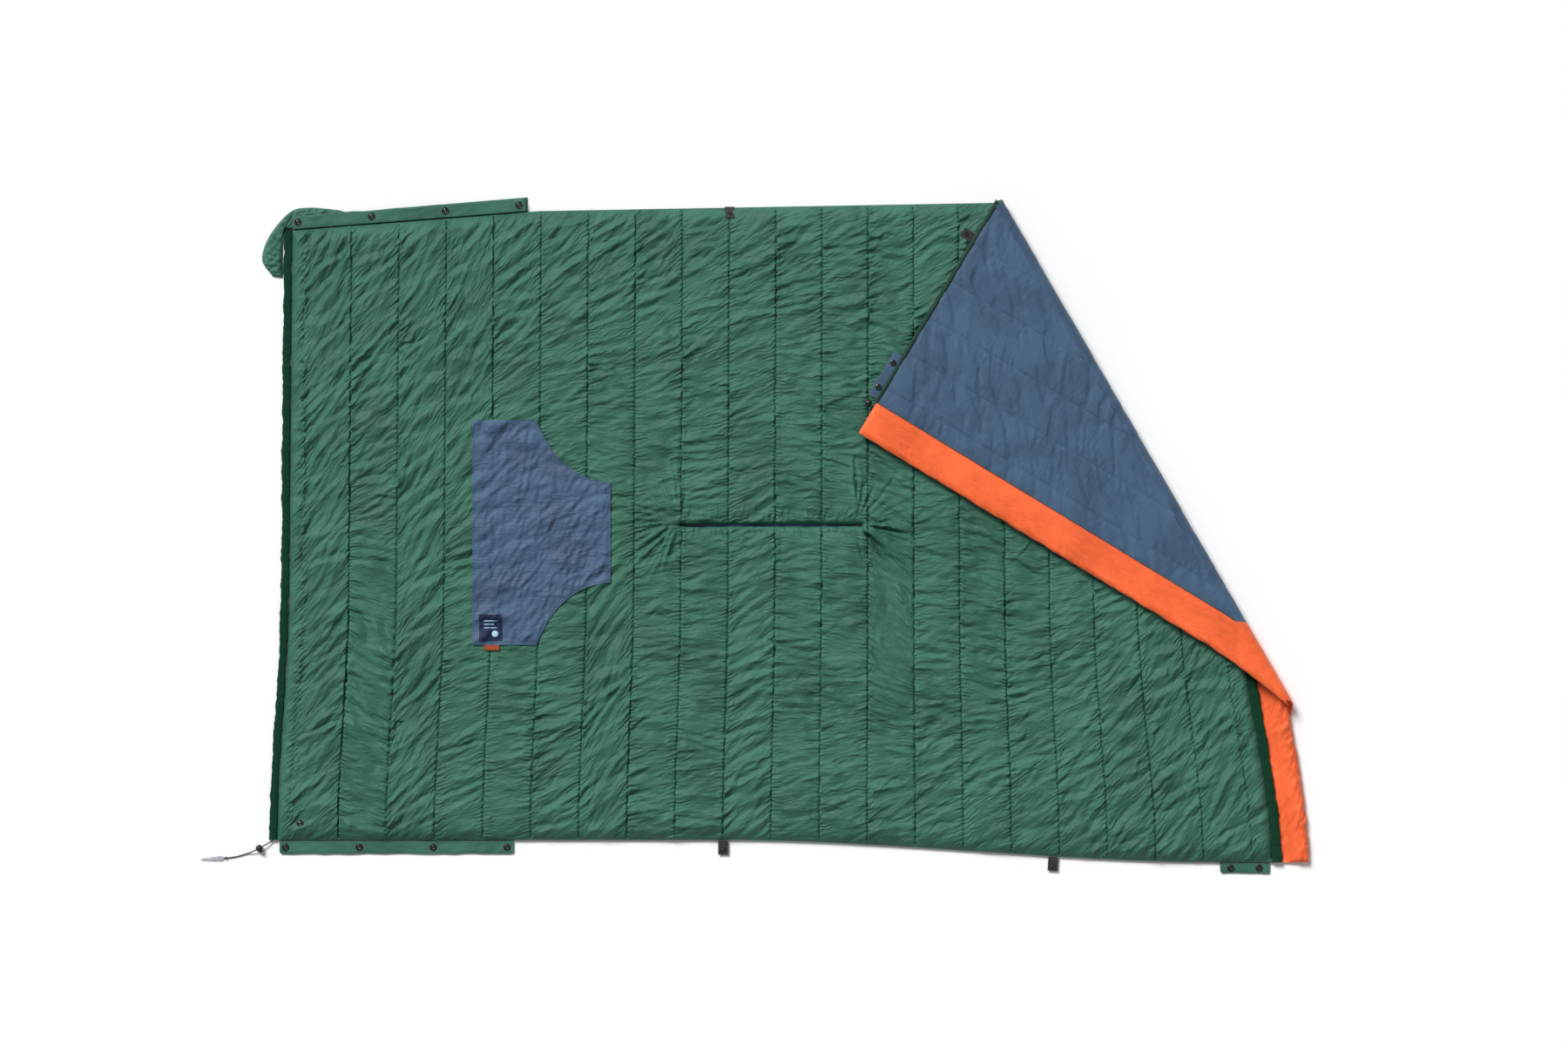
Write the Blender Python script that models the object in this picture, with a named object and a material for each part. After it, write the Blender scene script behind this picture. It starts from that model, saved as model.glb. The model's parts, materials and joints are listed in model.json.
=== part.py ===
"""Camp quilt, lying flat with one head corner folded back over it.

Metres, +Z up. X runs from the foot end to the head end, Y from the lower long edge to the upper one.
The origin is on the underside, where the first seam at the foot crosses the centreline.
Everything is modelled flat; what belongs to the head corner hangs on an empty on the fold line,
and that empty is turned half a turn.
"""

import math

import bmesh
import bpy
import numpy as np
from mathutils import Matrix, Vector

# Quilt body
CHAMBERS = 20
CHAMBER_PITCH = 0.09545
FOOT_BAND = 0.026
HEAD_BAND = 0.042
WIDTH = 1.26
LOFT = 0.024
SEAM_HEIGHT = 0.006
EDGE_HEIGHT = 0.004
EDGE_TAPER = 0.050
CLOTH = 0.0008
GAP = 0.0003

# How the laid quilt departs from a rectangle
FOOT_LEAN = 0.030
HEAD_LEAN = 0.085
LOWER_SAG = 0.045
UPPER_RISE = 0.035
CORNER_PULL = 0.030
CORNER_PULL_LENGTH = 0.50

# Head corner, folded back
FOLD_FROM_HEAD = 0.532
FOLD_LINE_ANGLE = math.radians(60)
FOLD_TURN = math.pi
FOLD_GAP = 0.001
FOLD_CUT = 0.002

# Neck slit and its zip
SLIT_START = 0.758
SLIT_LENGTH = 0.362
SLIT_Y = 0.005
SLIT_WIDTH = 0.012
SLIT_TAPER = 0.035
ZIP_CHAIN_WIDTH = 0.003
ZIP_CHAIN_HEIGHT = 0.0014
ZIP_TAPE_Z = 0.0022
SLIDER_SIZE = (0.0095, 0.0075, 0.0026)
PULL_SIZE = (0.019, 0.0045, 0.0012)
PULL_PIN_RADIUS = 0.0006

# Pocket
POCKET_START = 0.338
POCKET_DEPTH = 0.278
POCKET_Y = -0.0095
POCKET_BASE = 0.453
POCKET_SIDE = 0.129
POCKET_MOUTH_END = 0.201
POCKET_MOUTH_CURVE = (0.045, 0.118)
LABEL_SIZE = (0.046, 0.053)
LABEL_INSET = (0.014, 0.0085)
TAG_SIZE = (0.030, 0.010)
TAG_INSET = 0.024

# Hems, their drawcords and the draught collar
HEM_WIDTH = 0.018
HEM_HEIGHT = 0.005
HEAD_HEM_Z = 0.0075
DRAWCORD_RADIUS = 0.00125
COLLAR_WIDTH = 0.072
COLLAR_HEIGHT = 0.020
COLLAR_SEWN_HEIGHT = 0.0035

# Snap strips, head tabs and straps
STRIP_THICKNESS = 0.002
HINGE_OFFSET = 0.0015
HINGE_Z = 0.003
STRAP_HINGE_Z = 0.0054
PLACKET_LENGTH = 0.472
PLACKET_WIDTH = 0.026
PLACKET_SNAPS = 4
PLACKET_SNAP_PITCH = 0.149
PLACKET_FIRST_SNAP = 0.012
UPPER_PLACKET_Z = 0.0105
HEAD_TAB_LENGTH = 0.100
HEAD_TAB_WIDTH = 0.021
HEAD_TAB_SNAP_PITCH = 0.057
HEAD_TAB_INSET = 0.006
STRAP_WIDTH = 0.020
STRAP_LENGTH = 0.028
STRAPS_FROM_HEAD = {"mid": 1.092, "head": 0.436}
FOLDED_STRAP_TURN = math.radians(148)

# Snaps
SNAP_RADIUS = 0.0075
STRAP_SNAP_RADIUS = 0.0052
SNAP_POST_RADIUS = 0.0022
SNAP_CAP = 0.0015
SNAP_BASE = 0.0011
BODY_SNAP_PLACE = (0.046, 0.034)

# Padded flap behind the upper placket
DRAUGHT_HEIGHT = 0.0068
DRAUGHT_WIDTH = 0.034
DRAUGHT_EAR = 0.030
DRAUGHT_EAR_DROP = 0.095

# Cord locks and the loose cord end
LOCK_RADIUS = 0.0072
LOCK_BORE_RADIUS = 0.0040
PLUNGER_RADIUS = 0.0036
PLUNGER_LENGTH = 0.0125
PLUNGER_TRAVEL = 0.0018
LOCK_CORD_HOLE = 0.0019
LOCK_FLOOR = 0.0056
LOCK_MOUTH = 0.0050
SPRING_WIRE = 0.0003
SPRING_TURNS = 2
TAIL_ROUTE = [
    (-0.0670, -0.6318, 0.0034),
    (-0.0765, -0.6374, 0.0062),
    (-0.0855, -0.6425, 0.0074),
    (-0.0930, -0.6466, 0.0074),
    (-0.1005, -0.6507, 0.0074),
    (-0.1062, -0.6534, 0.0062),
    (-0.1119, -0.6556, 0.0036),
    (-0.1181, -0.6578, 0.0018),
    (-0.1255, -0.6602, 0.0013),
    (-0.1331, -0.6624, 0.0013),
    (-0.1415, -0.6642, 0.0013),
    (-0.1497, -0.6656, 0.0013),
    (-0.1575, -0.6664, 0.0013),
    (-0.1645, -0.6668, 0.0013),
]
FOOT_LOCK_AT = 3
TAIL_TAG_SIZE = (0.047, 0.010, 0.0034)

LENGTH = FOOT_BAND + CHAMBERS * CHAMBER_PITCH + HEAD_BAND

COLOURS = {
    "shell_green": ((0.055, 0.160, 0.105), 0.45, 0.0),
    "lining_blue": ((0.052, 0.095, 0.158), 0.55, 0.0),
    "collar_orange": ((0.900, 0.130, 0.040), 0.55, 0.0),
    "hem_green": ((0.006, 0.045, 0.022), 0.85, 0.0),
    "fill_white": ((0.800, 0.800, 0.780), 0.90, 0.0),
    "black_webbing": ((0.010, 0.010, 0.012), 0.80, 0.0),
    "black_plastic": ((0.012, 0.012, 0.014), 0.30, 0.0),
    "cord_black": ((0.015, 0.015, 0.017), 0.75, 0.0),
    "clear_tag": ((0.600, 0.620, 0.660), 0.30, 0.0),
    "label_navy": ((0.010, 0.018, 0.050), 0.60, 0.0),
    "tag_orange": ((0.330, 0.060, 0.020), 0.70, 0.0),
    "spring_steel": ((0.600, 0.600, 0.600), 0.30, 1.0),
}


def smooth(x):
    x = min(1.0, max(0.0, x))
    return x * x * (3 - 2 * x)


def lean(t):
    """How far across the quilt the end edges have leaned in: fast over the lower 40%, then slowly."""
    return 0.65 * smooth(t / 0.4) + 0.35 * t


def plan(s, t):
    """Where a point of the flat quilt lies: s metres from the foot edge, t from 0 (lower edge) to 1 (upper)."""
    share = s / LENGTH
    x = s - FOOT_BAND - FOOT_LEAN * (1 - lean(t)) * (1 - share) - HEAD_LEAN * share**4 * lean(t)
    low = -WIDTH / 2 - LOWER_SAG * smooth((share - 0.45) / 0.5)
    high = WIDTH / 2 - CORNER_PULL * max(0.0, 1 - s / CORNER_PULL_LENGTH) + UPPER_RISE * share
    return Vector((x, low + t * (high - low), 0))


def chamber_height(s):
    """Height of the quilted top over the underside: a rounded hump in each chamber, low at each seam."""
    run = (s - FOOT_BAND) / CHAMBER_PITCH
    if run < 0:
        share, tall = s / FOOT_BAND, 0.35
    elif run > CHAMBERS:
        share, tall = (s - FOOT_BAND - CHAMBERS * CHAMBER_PITCH) / HEAD_BAND, 0.6
    else:
        share, tall = run % 1.0, 1.0
    return SEAM_HEIGHT + (LOFT - SEAM_HEIGHT) * tall * max(0.0, math.sin(math.pi * share)) ** 0.7


def eased(near, far, distance, reach):
    return near + (far - near) * math.sin(math.pi / 2 * min(1.0, max(0.0, distance / reach)))


def slit_distance(x, y):
    past = max(SLIT_START - x, 0.0, x - SLIT_START - SLIT_LENGTH)
    return max(0.0, math.hypot(past, y - SLIT_Y) - SLIT_WIDTH / 2)


def top_height(s, t):
    """Height of the outside of the shell, pinched down along the quilt's edges and round the slit."""
    point = plan(s, t)
    height = chamber_height(s)
    height = eased(EDGE_HEIGHT, height, min(t, 1 - t) * WIDTH, EDGE_TAPER)
    height = eased(EDGE_HEIGHT, height, min(s, LENGTH - s), FOOT_BAND)
    return eased(EDGE_HEIGHT, height, slit_distance(point.x, point.y), SLIT_TAPER)


def material(name):
    found = bpy.data.materials.get(name)
    if found:
        return found
    colour, roughness, metallic = COLOURS[name]
    made = bpy.data.materials.new(name)
    made.use_nodes = True
    shader = made.node_tree.nodes["Principled BSDF"]
    shader.inputs["Base Color"].default_value = (*colour, 1)
    shader.inputs["Roughness"].default_value = roughness
    shader.inputs["Metallic"].default_value = metallic
    made.diffuse_color = (*colour, 1)
    return made


def add(name, mesh, finish, parent=None, flat_parent=None):
    """Puts a mesh in the scene. parent: it is modelled in that empty's own frame.
    flat_parent: it is modelled in the flat quilt's frame and turns with that empty."""
    obj = bpy.data.objects.new(name, mesh)
    bpy.context.scene.collection.objects.link(obj)
    if finish:
        obj.data.materials.append(material(finish))
    else:
        obj.hide_render = True
        obj.display_type = "WIRE"
    if parent:
        obj.parent = parent
    if flat_parent:
        obj.parent = flat_parent
        obj.matrix_parent_inverse = FLAT_FRAMES[flat_parent.name].inverted()
    return obj


def mesh_of(name, vertices, faces, round_piece=False):
    mesh = bpy.data.meshes.new(name)
    mesh.from_pydata([tuple(v) for v in vertices], [], faces)
    cleaned = bmesh.new()
    cleaned.from_mesh(mesh)
    bmesh.ops.recalc_face_normals(cleaned, faces=cleaned.faces)
    cleaned.to_mesh(mesh)
    cleaned.free()
    if round_piece:
        mesh.shade_smooth()
        mesh.set_sharp_from_angle(angle=math.radians(35))
    return mesh


FLAT_FRAMES = {}


def frame_empty(name, origin, along, flat_parent=None):
    """An empty at a joint, with its X along the joint's axis and Z up, in the flat quilt."""
    x_axis = Vector(along).normalized()
    z_axis = Vector((0, 0, 1))
    y_axis = z_axis.cross(x_axis)
    frame = Matrix((x_axis, y_axis, z_axis)).transposed().to_4x4()
    frame.translation = origin
    found = bpy.data.objects.new(name, None)
    bpy.context.scene.collection.objects.link(found)
    if flat_parent:
        found.parent = flat_parent
        found.matrix_parent_inverse = FLAT_FRAMES[flat_parent.name].inverted()
    found.matrix_basis = frame
    FLAT_FRAMES[name] = frame
    return found


def cut(obj, cutter, operation="DIFFERENCE"):
    modifier = obj.modifiers.new("cut_" + cutter.name, "BOOLEAN")
    modifier.operation = operation
    modifier.object = cutter


def box(name, low, high, finish=None, **place):
    corners = [
        (x, y, z) for z in (low[2], high[2]) for x, y in
        ((low[0], low[1]), (high[0], low[1]), (high[0], high[1]), (low[0], high[1]))
    ]
    faces = [(3, 2, 1, 0), (4, 5, 6, 7), (0, 1, 5, 4), (1, 2, 6, 5), (2, 3, 7, 6), (3, 0, 4, 7)]
    return add(name, mesh_of(name, corners, faces), finish, **place)


def prism(name, outline, low, high, finish=None, **place):
    """An outline of x, y points standing from z low to z high."""
    count = len(outline)
    vertices = [(*p, low) for p in outline] + [(*p, high) for p in outline]
    sides = [(i, (i + 1) % count, count + (i + 1) % count, count + i) for i in range(count)]
    faces = [tuple(reversed(range(count))), tuple(range(count, 2 * count)), *sides]
    return add(name, mesh_of(name, vertices, faces), finish, **place)


def turned(name, profile, finish, segments=14, **place):
    """Radius, height pairs from the axis at the bottom round to the axis at the top, turned about Z."""
    body = bmesh.new()
    line = [body.verts.new((r, 0, z)) for r, z in profile]
    edges = [body.edges.new(pair) for pair in zip(line, line[1:])]
    bmesh.ops.spin(
        body, geom=line + edges, axis=(0, 0, 1), cent=(0, 0, 0),
        angle=2 * math.pi, steps=segments, use_merge=True,
    )
    bmesh.ops.remove_doubles(body, verts=body.verts, dist=1e-6)
    bmesh.ops.recalc_face_normals(body, faces=body.faces)
    mesh = bpy.data.meshes.new(name)
    body.to_mesh(mesh)
    body.free()
    mesh.shade_smooth()
    mesh.set_sharp_from_angle(angle=math.radians(35))
    return add(name, mesh, finish, **place)


def swept(name, section, path, finish, hole=None, **place):
    """A closed section of (across, height) points carried along (x, y, z) points, across along X.
    hole is an inner section with as many points, which leaves the piece a tube with open ends."""
    rings = [section] if hole is None else [section, hole]
    count = len(section)
    vertices = [
        (x + across, y, z + height) for x, y, z in path for ring in rings for across, height in ring
    ]
    per_station = count * len(rings)
    faces = []
    for station in range(len(path) - 1):
        for ring in range(len(rings)):
            start = station * per_station + ring * count
            for i in range(count):
                j = (i + 1) % count
                faces.append((start + i, start + j, start + j + per_station))
                faces.append((start + i, start + j + per_station, start + i + per_station))
    last = (len(path) - 1) * per_station
    for start in (0, last):
        if hole is None:
            faces.append(tuple(range(start, start + count)))
        else:
            faces += [
                (start + i, start + (i + 1) % count, start + count + (i + 1) % count, start + count + i)
                for i in range(count)
            ]
    return add(name, mesh_of(name, vertices, faces), finish, **place)


def oval(width, height, centre=(0.0, 0.0), points=10, squareness=0.7):
    """A rounded section: an ellipse whose cosines and sines are raised to a power below 1."""
    found = []
    for i in range(points):
        angle = 2 * math.pi * (i + 0.5) / points
        across, up = math.cos(angle), math.sin(angle)
        found.append((
            centre[0] + width / 2 * math.copysign(abs(across) ** squareness, across),
            centre[1] + height / 2 * math.copysign(abs(up) ** squareness, up),
        ))
    return found


# ---- stations of the quilted grid ----

def seam_stations(per_chamber=3):
    chambers = [FOOT_BAND + CHAMBER_PITCH * i / per_chamber for i in range(CHAMBERS * per_chamber + 1)]
    return [0.0, FOOT_BAND / 2, *chambers, LENGTH - HEAD_BAND / 2, LENGTH]


def cross_stations():
    low, high = plan(SLIT_START, 0).y, plan(SLIT_START, 1).y
    slit = (SLIT_Y - low) / (high - low)
    near, far = (SLIT_WIDTH / 2 + 0.002) / WIDTH, (SLIT_WIDTH / 2 + SLIT_TAPER) / WIDTH
    edge = EDGE_TAPER / WIDTH
    return [
        0.0, 0.35 * edge, edge, 0.12, 0.22, 0.34, slit - far, slit - near,
        slit + near, slit + far, 0.75, 1 - edge, 1 - 0.35 * edge, 1.0,
    ]


def quilted(name, along, across, top, bottom, finish, **place):
    """A closed solid over the plan grid between two heights, each a function of s and t."""
    rows, columns = len(along), len(across)
    vertices = []
    for height in (top, bottom):
        for s in along:
            for t in across:
                point = plan(s, t)
                vertices.append((point.x, point.y, height(s, t)))

    def at(layer, i, j):
        return layer * rows * columns + i * columns + j

    faces = []
    for i in range(rows - 1):
        for j in range(columns - 1):
            for layer in (0, 1):
                faces.append((at(layer, i, j), at(layer, i + 1, j), at(layer, i + 1, j + 1)))
                faces.append((at(layer, i, j), at(layer, i + 1, j + 1), at(layer, i, j + 1)))
    rim = (
        [(i, 0) for i in range(rows)] + [(rows - 1, j) for j in range(1, columns)]
        + [(i, columns - 1) for i in range(rows - 2, -1, -1)] + [(0, j) for j in range(columns - 2, 0, -1)]
    )
    for (i, j), (k, m) in zip(rim, rim[1:] + rim[:1]):
        faces.append((at(0, i, j), at(1, i, j), at(1, k, m), at(0, k, m)))
    return add(name, mesh_of(name, vertices, faces), finish, **place)


# ---- pieces ----

def fold_line():
    """The fold line's start on the upper edge and its direction, towards the head edge."""
    start = plan(LENGTH - FOLD_FROM_HEAD, 1)
    return start, Vector((math.cos(FOLD_LINE_ANGLE), -math.sin(FOLD_LINE_ANGLE), 0))


def fold_cutter(name, offset, corner=None):
    """A box over the head corner, whose side stands on the fold line, moved offset towards the corner."""
    start, along = fold_line()
    frame = frame_empty(name + "_frame", start, along, flat_parent=corner)
    return box(name, (-0.8, offset, -0.05), (2.2, 1.2, 0.10), parent=frame)


def slit_cutter(name, corner=None):
    low = (SLIT_START, SLIT_Y - SLIT_WIDTH / 2, -0.01)
    high = (SLIT_START + SLIT_LENGTH, SLIT_Y + SLIT_WIDTH / 2, LOFT * 2)
    return box(name, low, high, flat_parent=corner)


def quilt_layers(corner):
    """Shell, fill and lining: the body's with the corner cut away, and the corner's own."""
    along, across = seam_stations(), cross_stations()
    flat_along = seam_stations(per_chamber=1)
    layers = {
        "outer_shell": (along, top_height, lambda s, t: top_height(s, t) - CLOTH, "shell_green"),
        "fill": (
            along, lambda s, t: top_height(s, t) - CLOTH - GAP,
            lambda s, t: CLOTH + GAP, "fill_white",
        ),
        "lining": (flat_along, lambda s, t: CLOTH, lambda s, t: 0.0, "lining_blue"),
    }
    slit = slit_cutter("slit_space")
    body_cut = fold_cutter("body_fold_space", -FOLD_CUT / 2)
    corner_keep = fold_cutter("corner_keep", FOLD_CUT / 2, corner)
    for name, (stations, top, bottom, finish) in layers.items():
        body = quilted(name, stations, across, top, bottom, finish)
        cut(body, slit)
        cut(body, body_cut)
        folded = quilted("corner_" + name, stations, across, top, bottom, finish, flat_parent=corner)
        cut(folded, corner_keep, "INTERSECT")
    return body_cut, corner_keep


def edge_path(s, beyond, height):
    """Points along an end edge at the grid's own stations, moved beyond it along X."""
    return [(plan(s, t).x + beyond, plan(s, t).y, height) for t in cross_stations()]


def before_head(distance, t):
    """The s of the point on a long edge that lies distance before the head end."""
    low, high = LENGTH - 2 * distance, LENGTH
    for _ in range(30):
        middle = (low + high) / 2
        if (plan(LENGTH, t) - plan(middle, t)).length > distance:
            low = middle
        else:
            high = middle
    return high


def hems(corner, body_cut, corner_keep):
    """The drawcord channels along both ends, with the cords inside them."""
    outer, inner = oval(HEM_WIDTH, HEM_HEIGHT), oval(HEM_WIDTH - 2 * CLOTH, HEM_HEIGHT - 2 * CLOTH)
    cord = oval(2 * DRAWCORD_RADIUS, 2 * DRAWCORD_RADIUS, points=8, squareness=1)
    middle = HEM_WIDTH / 2 + GAP
    foot = edge_path(0, -middle, HEM_HEIGHT / 2)
    swept("foot_hem_channel", outer, foot, "hem_green", hole=inner)
    swept("foot_drawcord", cord, foot, "cord_black")
    head = edge_path(LENGTH, middle, HEAD_HEM_Z)
    for prefix, cutter, operation, parent in (
        ("", body_cut, "DIFFERENCE", None), ("corner_", corner_keep, "INTERSECT", corner),
    ):
        channel = swept(prefix + "head_hem_channel", outer, head, "hem_green", hole=inner, flat_parent=parent)
        cut(channel, cutter, operation)
        drawcord = swept(prefix + "head_drawcord", cord, head, "cord_black", flat_parent=parent)
        cut(drawcord, cutter, operation)


def collar_section(shrink=0.0):
    """A teardrop: thin at the sewn edge, full in its outer half. shrink moves it in on every side."""
    low, thin = shrink, COLLAR_SEWN_HEIGHT - shrink
    top = [(0.0, thin), (0.30, thin + 0.001), (0.46, 0.011 - shrink), (0.62, 0.018 - shrink),
           (0.78, COLLAR_HEIGHT - shrink), (0.92, 0.016 - shrink)]
    bottom = [(1.0, 0.008), (0.92, 0.002 + low), (0.78, low), (0.0, low)]
    start, length = GAP + shrink, COLLAR_WIDTH - 2 * shrink
    return [(start + share * length, height) for share, height in top + bottom]


def collars(corner, body_cut, corner_keep):
    path = edge_path(LENGTH, 0.0, 0.0)
    for prefix, cutter, operation, parent in (
        ("", body_cut, "DIFFERENCE", None), ("corner_", corner_keep, "INTERSECT", corner),
    ):
        casing = swept(
            prefix + "collar_casing", collar_section(), path, "collar_orange",
            hole=collar_section(CLOTH), flat_parent=parent,
        )
        cut(casing, cutter, operation)
        filling = swept(
            prefix + "collar_fill", collar_section(CLOTH + GAP), path, "fill_white", flat_parent=parent
        )
        cut(filling, cutter, operation)


def snap(name, radius, parent, place, grip=STRIP_THICKNESS):
    """A riveted press snap: a cap above the cloth and a base below it, on one post. place is x, y, z."""
    half = grip / 2 + GAP
    base_radius = radius * 0.87
    profile = [
        (0, -half - SNAP_BASE), (base_radius - 0.0004, -half - SNAP_BASE), (base_radius, -half - SNAP_BASE / 2),
        (base_radius, -half), (SNAP_POST_RADIUS, -half), (SNAP_POST_RADIUS, half), (radius, half),
        (radius, half + SNAP_CAP * 0.55), (radius * 0.78, half + SNAP_CAP),
        (radius * 0.42, half + SNAP_CAP), (radius * 0.30, half + SNAP_CAP * 0.5), (0, half + SNAP_CAP * 0.5),
    ]
    made = turned(name, profile, "black_plastic", parent=parent)
    made.location = place
    return made


def post_holes(name, places, parent, depth=STRIP_THICKNESS):
    """One cutter with a round bar for each snap's post."""
    body = bmesh.new()
    for x, y, z in places:
        bmesh.ops.create_cone(
            body, cap_ends=True, segments=14, radius1=SNAP_POST_RADIUS + GAP,
            radius2=SNAP_POST_RADIUS + GAP, depth=depth * 3, matrix=Matrix.Translation((x, y, z)),
        )
    mesh = bpy.data.meshes.new(name)
    body.to_mesh(mesh)
    body.free()
    return add(name, mesh, None, parent=parent)


def edge_hinge(name, s, upper, height=HINGE_Z, corner=None, length=0.05):
    """An empty on a strip's hinge line, just outside a long edge. Its X runs along the edge
    and its Y points away from the quilt."""
    t, half = (1, length / 2) if upper else (0, length / 2)
    back, front = plan(max(0.0, s - half), t), plan(min(LENGTH, s + half), t)
    along = (front - back) if not upper else (back - front)
    outward = Vector((along.y, -along.x, 0)).normalized()
    origin = plan(s, t) + outward * HINGE_OFFSET + Vector((0, 0, height))
    made = frame_empty(name, origin, along, flat_parent=corner)
    made.matrix_basis = made.matrix_basis @ Matrix.Rotation(math.pi, 4, "Z")
    FLAT_FRAMES[name] = made.matrix_basis.copy()
    return made


def strip(name, hinge, start, end, width, snap_places, finish, radius=SNAP_RADIUS, corners=0.004):
    """A strip of doubled cloth from its hinge line outwards, with its free corners cut off, and its snaps."""
    outline = [(start, 0), (end, 0), (end, width - corners), (end - corners, width),
               (start + corners, width), (start, width - corners)]
    half = STRIP_THICKNESS / 2
    cloth = prism(name, outline, -half, half, finish, parent=hinge)
    places = [(x, y, 0) for x, y in snap_places]
    cut(cloth, post_holes(name + "_holes", places, hinge))
    for number, place in enumerate(places, 1):
        label = f"{name}_snap" if len(places) == 1 else f"{name}_snap_{number}"
        snap(label, radius, hinge, place)


def plackets():
    """The two foot strips, whose snaps close the long edges into a foot box."""
    for name, upper, height in (
        ("upper_foot_placket", True, UPPER_PLACKET_Z), ("lower_foot_placket", False, HINGE_Z),
    ):
        middle = PLACKET_LENGTH / 2
        hinge = edge_hinge(name + "_hinge", middle, upper, height, length=PLACKET_LENGTH * 0.9)
        foot_side = -1 if upper else 1
        places = []
        for i in range(PLACKET_SNAPS):
            along = foot_side * (middle - PLACKET_FIRST_SNAP - i * PLACKET_SNAP_PITCH)
            places.append((along, PLACKET_WIDTH * 0.52))
        strip(name, hinge, -middle, middle, PLACKET_WIDTH, places, "shell_green")


def head_tabs(corner):
    """The short strips at the head, whose two snaps close the quilt at the neck."""
    half, reach = HEAD_TAB_LENGTH / 2, HEAD_TAB_SNAP_PITCH / 2
    places = [(reach, HEAD_TAB_WIDTH * 0.5), (-reach, HEAD_TAB_WIDTH * 0.5)]
    for name, upper, parent in (("upper_head_tab", True, corner), ("lower_head_tab", False, None)):
        middle = before_head(HEAD_TAB_INSET + half, 1 if upper else 0)
        hinge = edge_hinge(name + "_hinge", middle, upper, corner=parent, length=HEAD_TAB_LENGTH)
        strip(name, hinge, -half, half, HEAD_TAB_WIDTH, places, "shell_green")


def straps(corner):
    """Four folded webbing straps with a snap each, to hold the quilt to a hammock or a mat."""
    for place, before_head in STRAPS_FROM_HEAD.items():
        for side, upper in (("upper", True), ("lower", False)):
            name = f"{side}_{place}_strap"
            parent = corner if upper and before_head < FOLD_FROM_HEAD else None
            hinge = edge_hinge(name + "_hinge", LENGTH - before_head, upper, STRAP_HINGE_Z, corner=parent)
            if upper and parent is None:
                hinge.matrix_basis = hinge.matrix_basis @ Matrix.Rotation(FOLDED_STRAP_TURN, 4, "X")
            half = STRAP_WIDTH / 2
            strip(
                name, hinge, -half, half, STRAP_LENGTH, [(0, STRAP_LENGTH * 0.68)],
                "black_webbing", radius=STRAP_SNAP_RADIUS, corners=0.0015,
            )


def body_snap():
    """The single snap through the quilt at the lower foot corner."""
    s, inset = BODY_SNAP_PLACE
    t = inset / WIDTH
    point = plan(s, t)
    grip = top_height(s, t)
    frame = frame_empty("body_snap_place", Vector((point.x, point.y, 0)), (1, 0, 0))
    holes = post_holes("body_snap_hole", [(0, 0, grip / 2)], frame, depth=grip)
    for layer in ("outer_shell", "fill", "lining"):
        cut(bpy.data.objects[layer], holes)
    half = SNAP_RADIUS * 0.75
    profile = [
        (0, CLOTH + GAP), (SNAP_POST_RADIUS, CLOTH + GAP), (SNAP_POST_RADIUS, grip + 2.2 * GAP + 0.001),
        (half, grip + 2.2 * GAP + 0.001), (half, grip + 0.0026), (half * 0.4, grip + 0.0032), (0, grip + 0.0026),
    ]
    turned("body_snap", profile, "black_plastic", parent=frame)


def draught_flap():
    """The padded flap behind the upper placket. Its ear reaches round the foot corner."""
    end = PLACKET_LENGTH + 0.002
    inner = [plan(end * i / 4, 1) + Vector((0, 0.0004, 0)) for i in range(4, -1, -1)]
    corner_point = plan(0, 1)
    hem_side = corner_point.x - HEM_WIDTH - 2 * GAP - 0.002
    outer_start = plan(0.10, 1).y + DRAUGHT_WIDTH - 0.004
    ear_bottom = corner_point.y - DRAUGHT_EAR_DROP
    outline = [(p.x, p.y) for p in inner]
    outline += [(hem_side, corner_point.y + 0.0006), (hem_side, ear_bottom)]
    tip_x = hem_side - DRAUGHT_EAR
    ear = [
        (hem_side - 0.012, ear_bottom + 0.004), (tip_x + 0.004, ear_bottom + 0.014), (tip_x, ear_bottom + 0.034),
        (tip_x + 0.008, ear_bottom + 0.066), (tip_x + 0.020, ear_bottom + 0.094),
        (tip_x + 0.036, ear_bottom + 0.117), (tip_x + 0.058, ear_bottom + 0.133),
        (tip_x + 0.086, ear_bottom + 0.139), (0.061, outer_start + 0.004), (0.096, outer_start),
    ]
    last = plan(end, 1)
    outline += ear + [(last.x, last.y + DRAUGHT_WIDTH - 0.004)]
    prism("draught_flap_fill", outline, 0.0, DRAUGHT_HEIGHT - CLOTH - GAP, "fill_white")
    prism("draught_flap_shell", outline, DRAUGHT_HEIGHT - CLOTH, DRAUGHT_HEIGHT, "shell_green")


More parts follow.
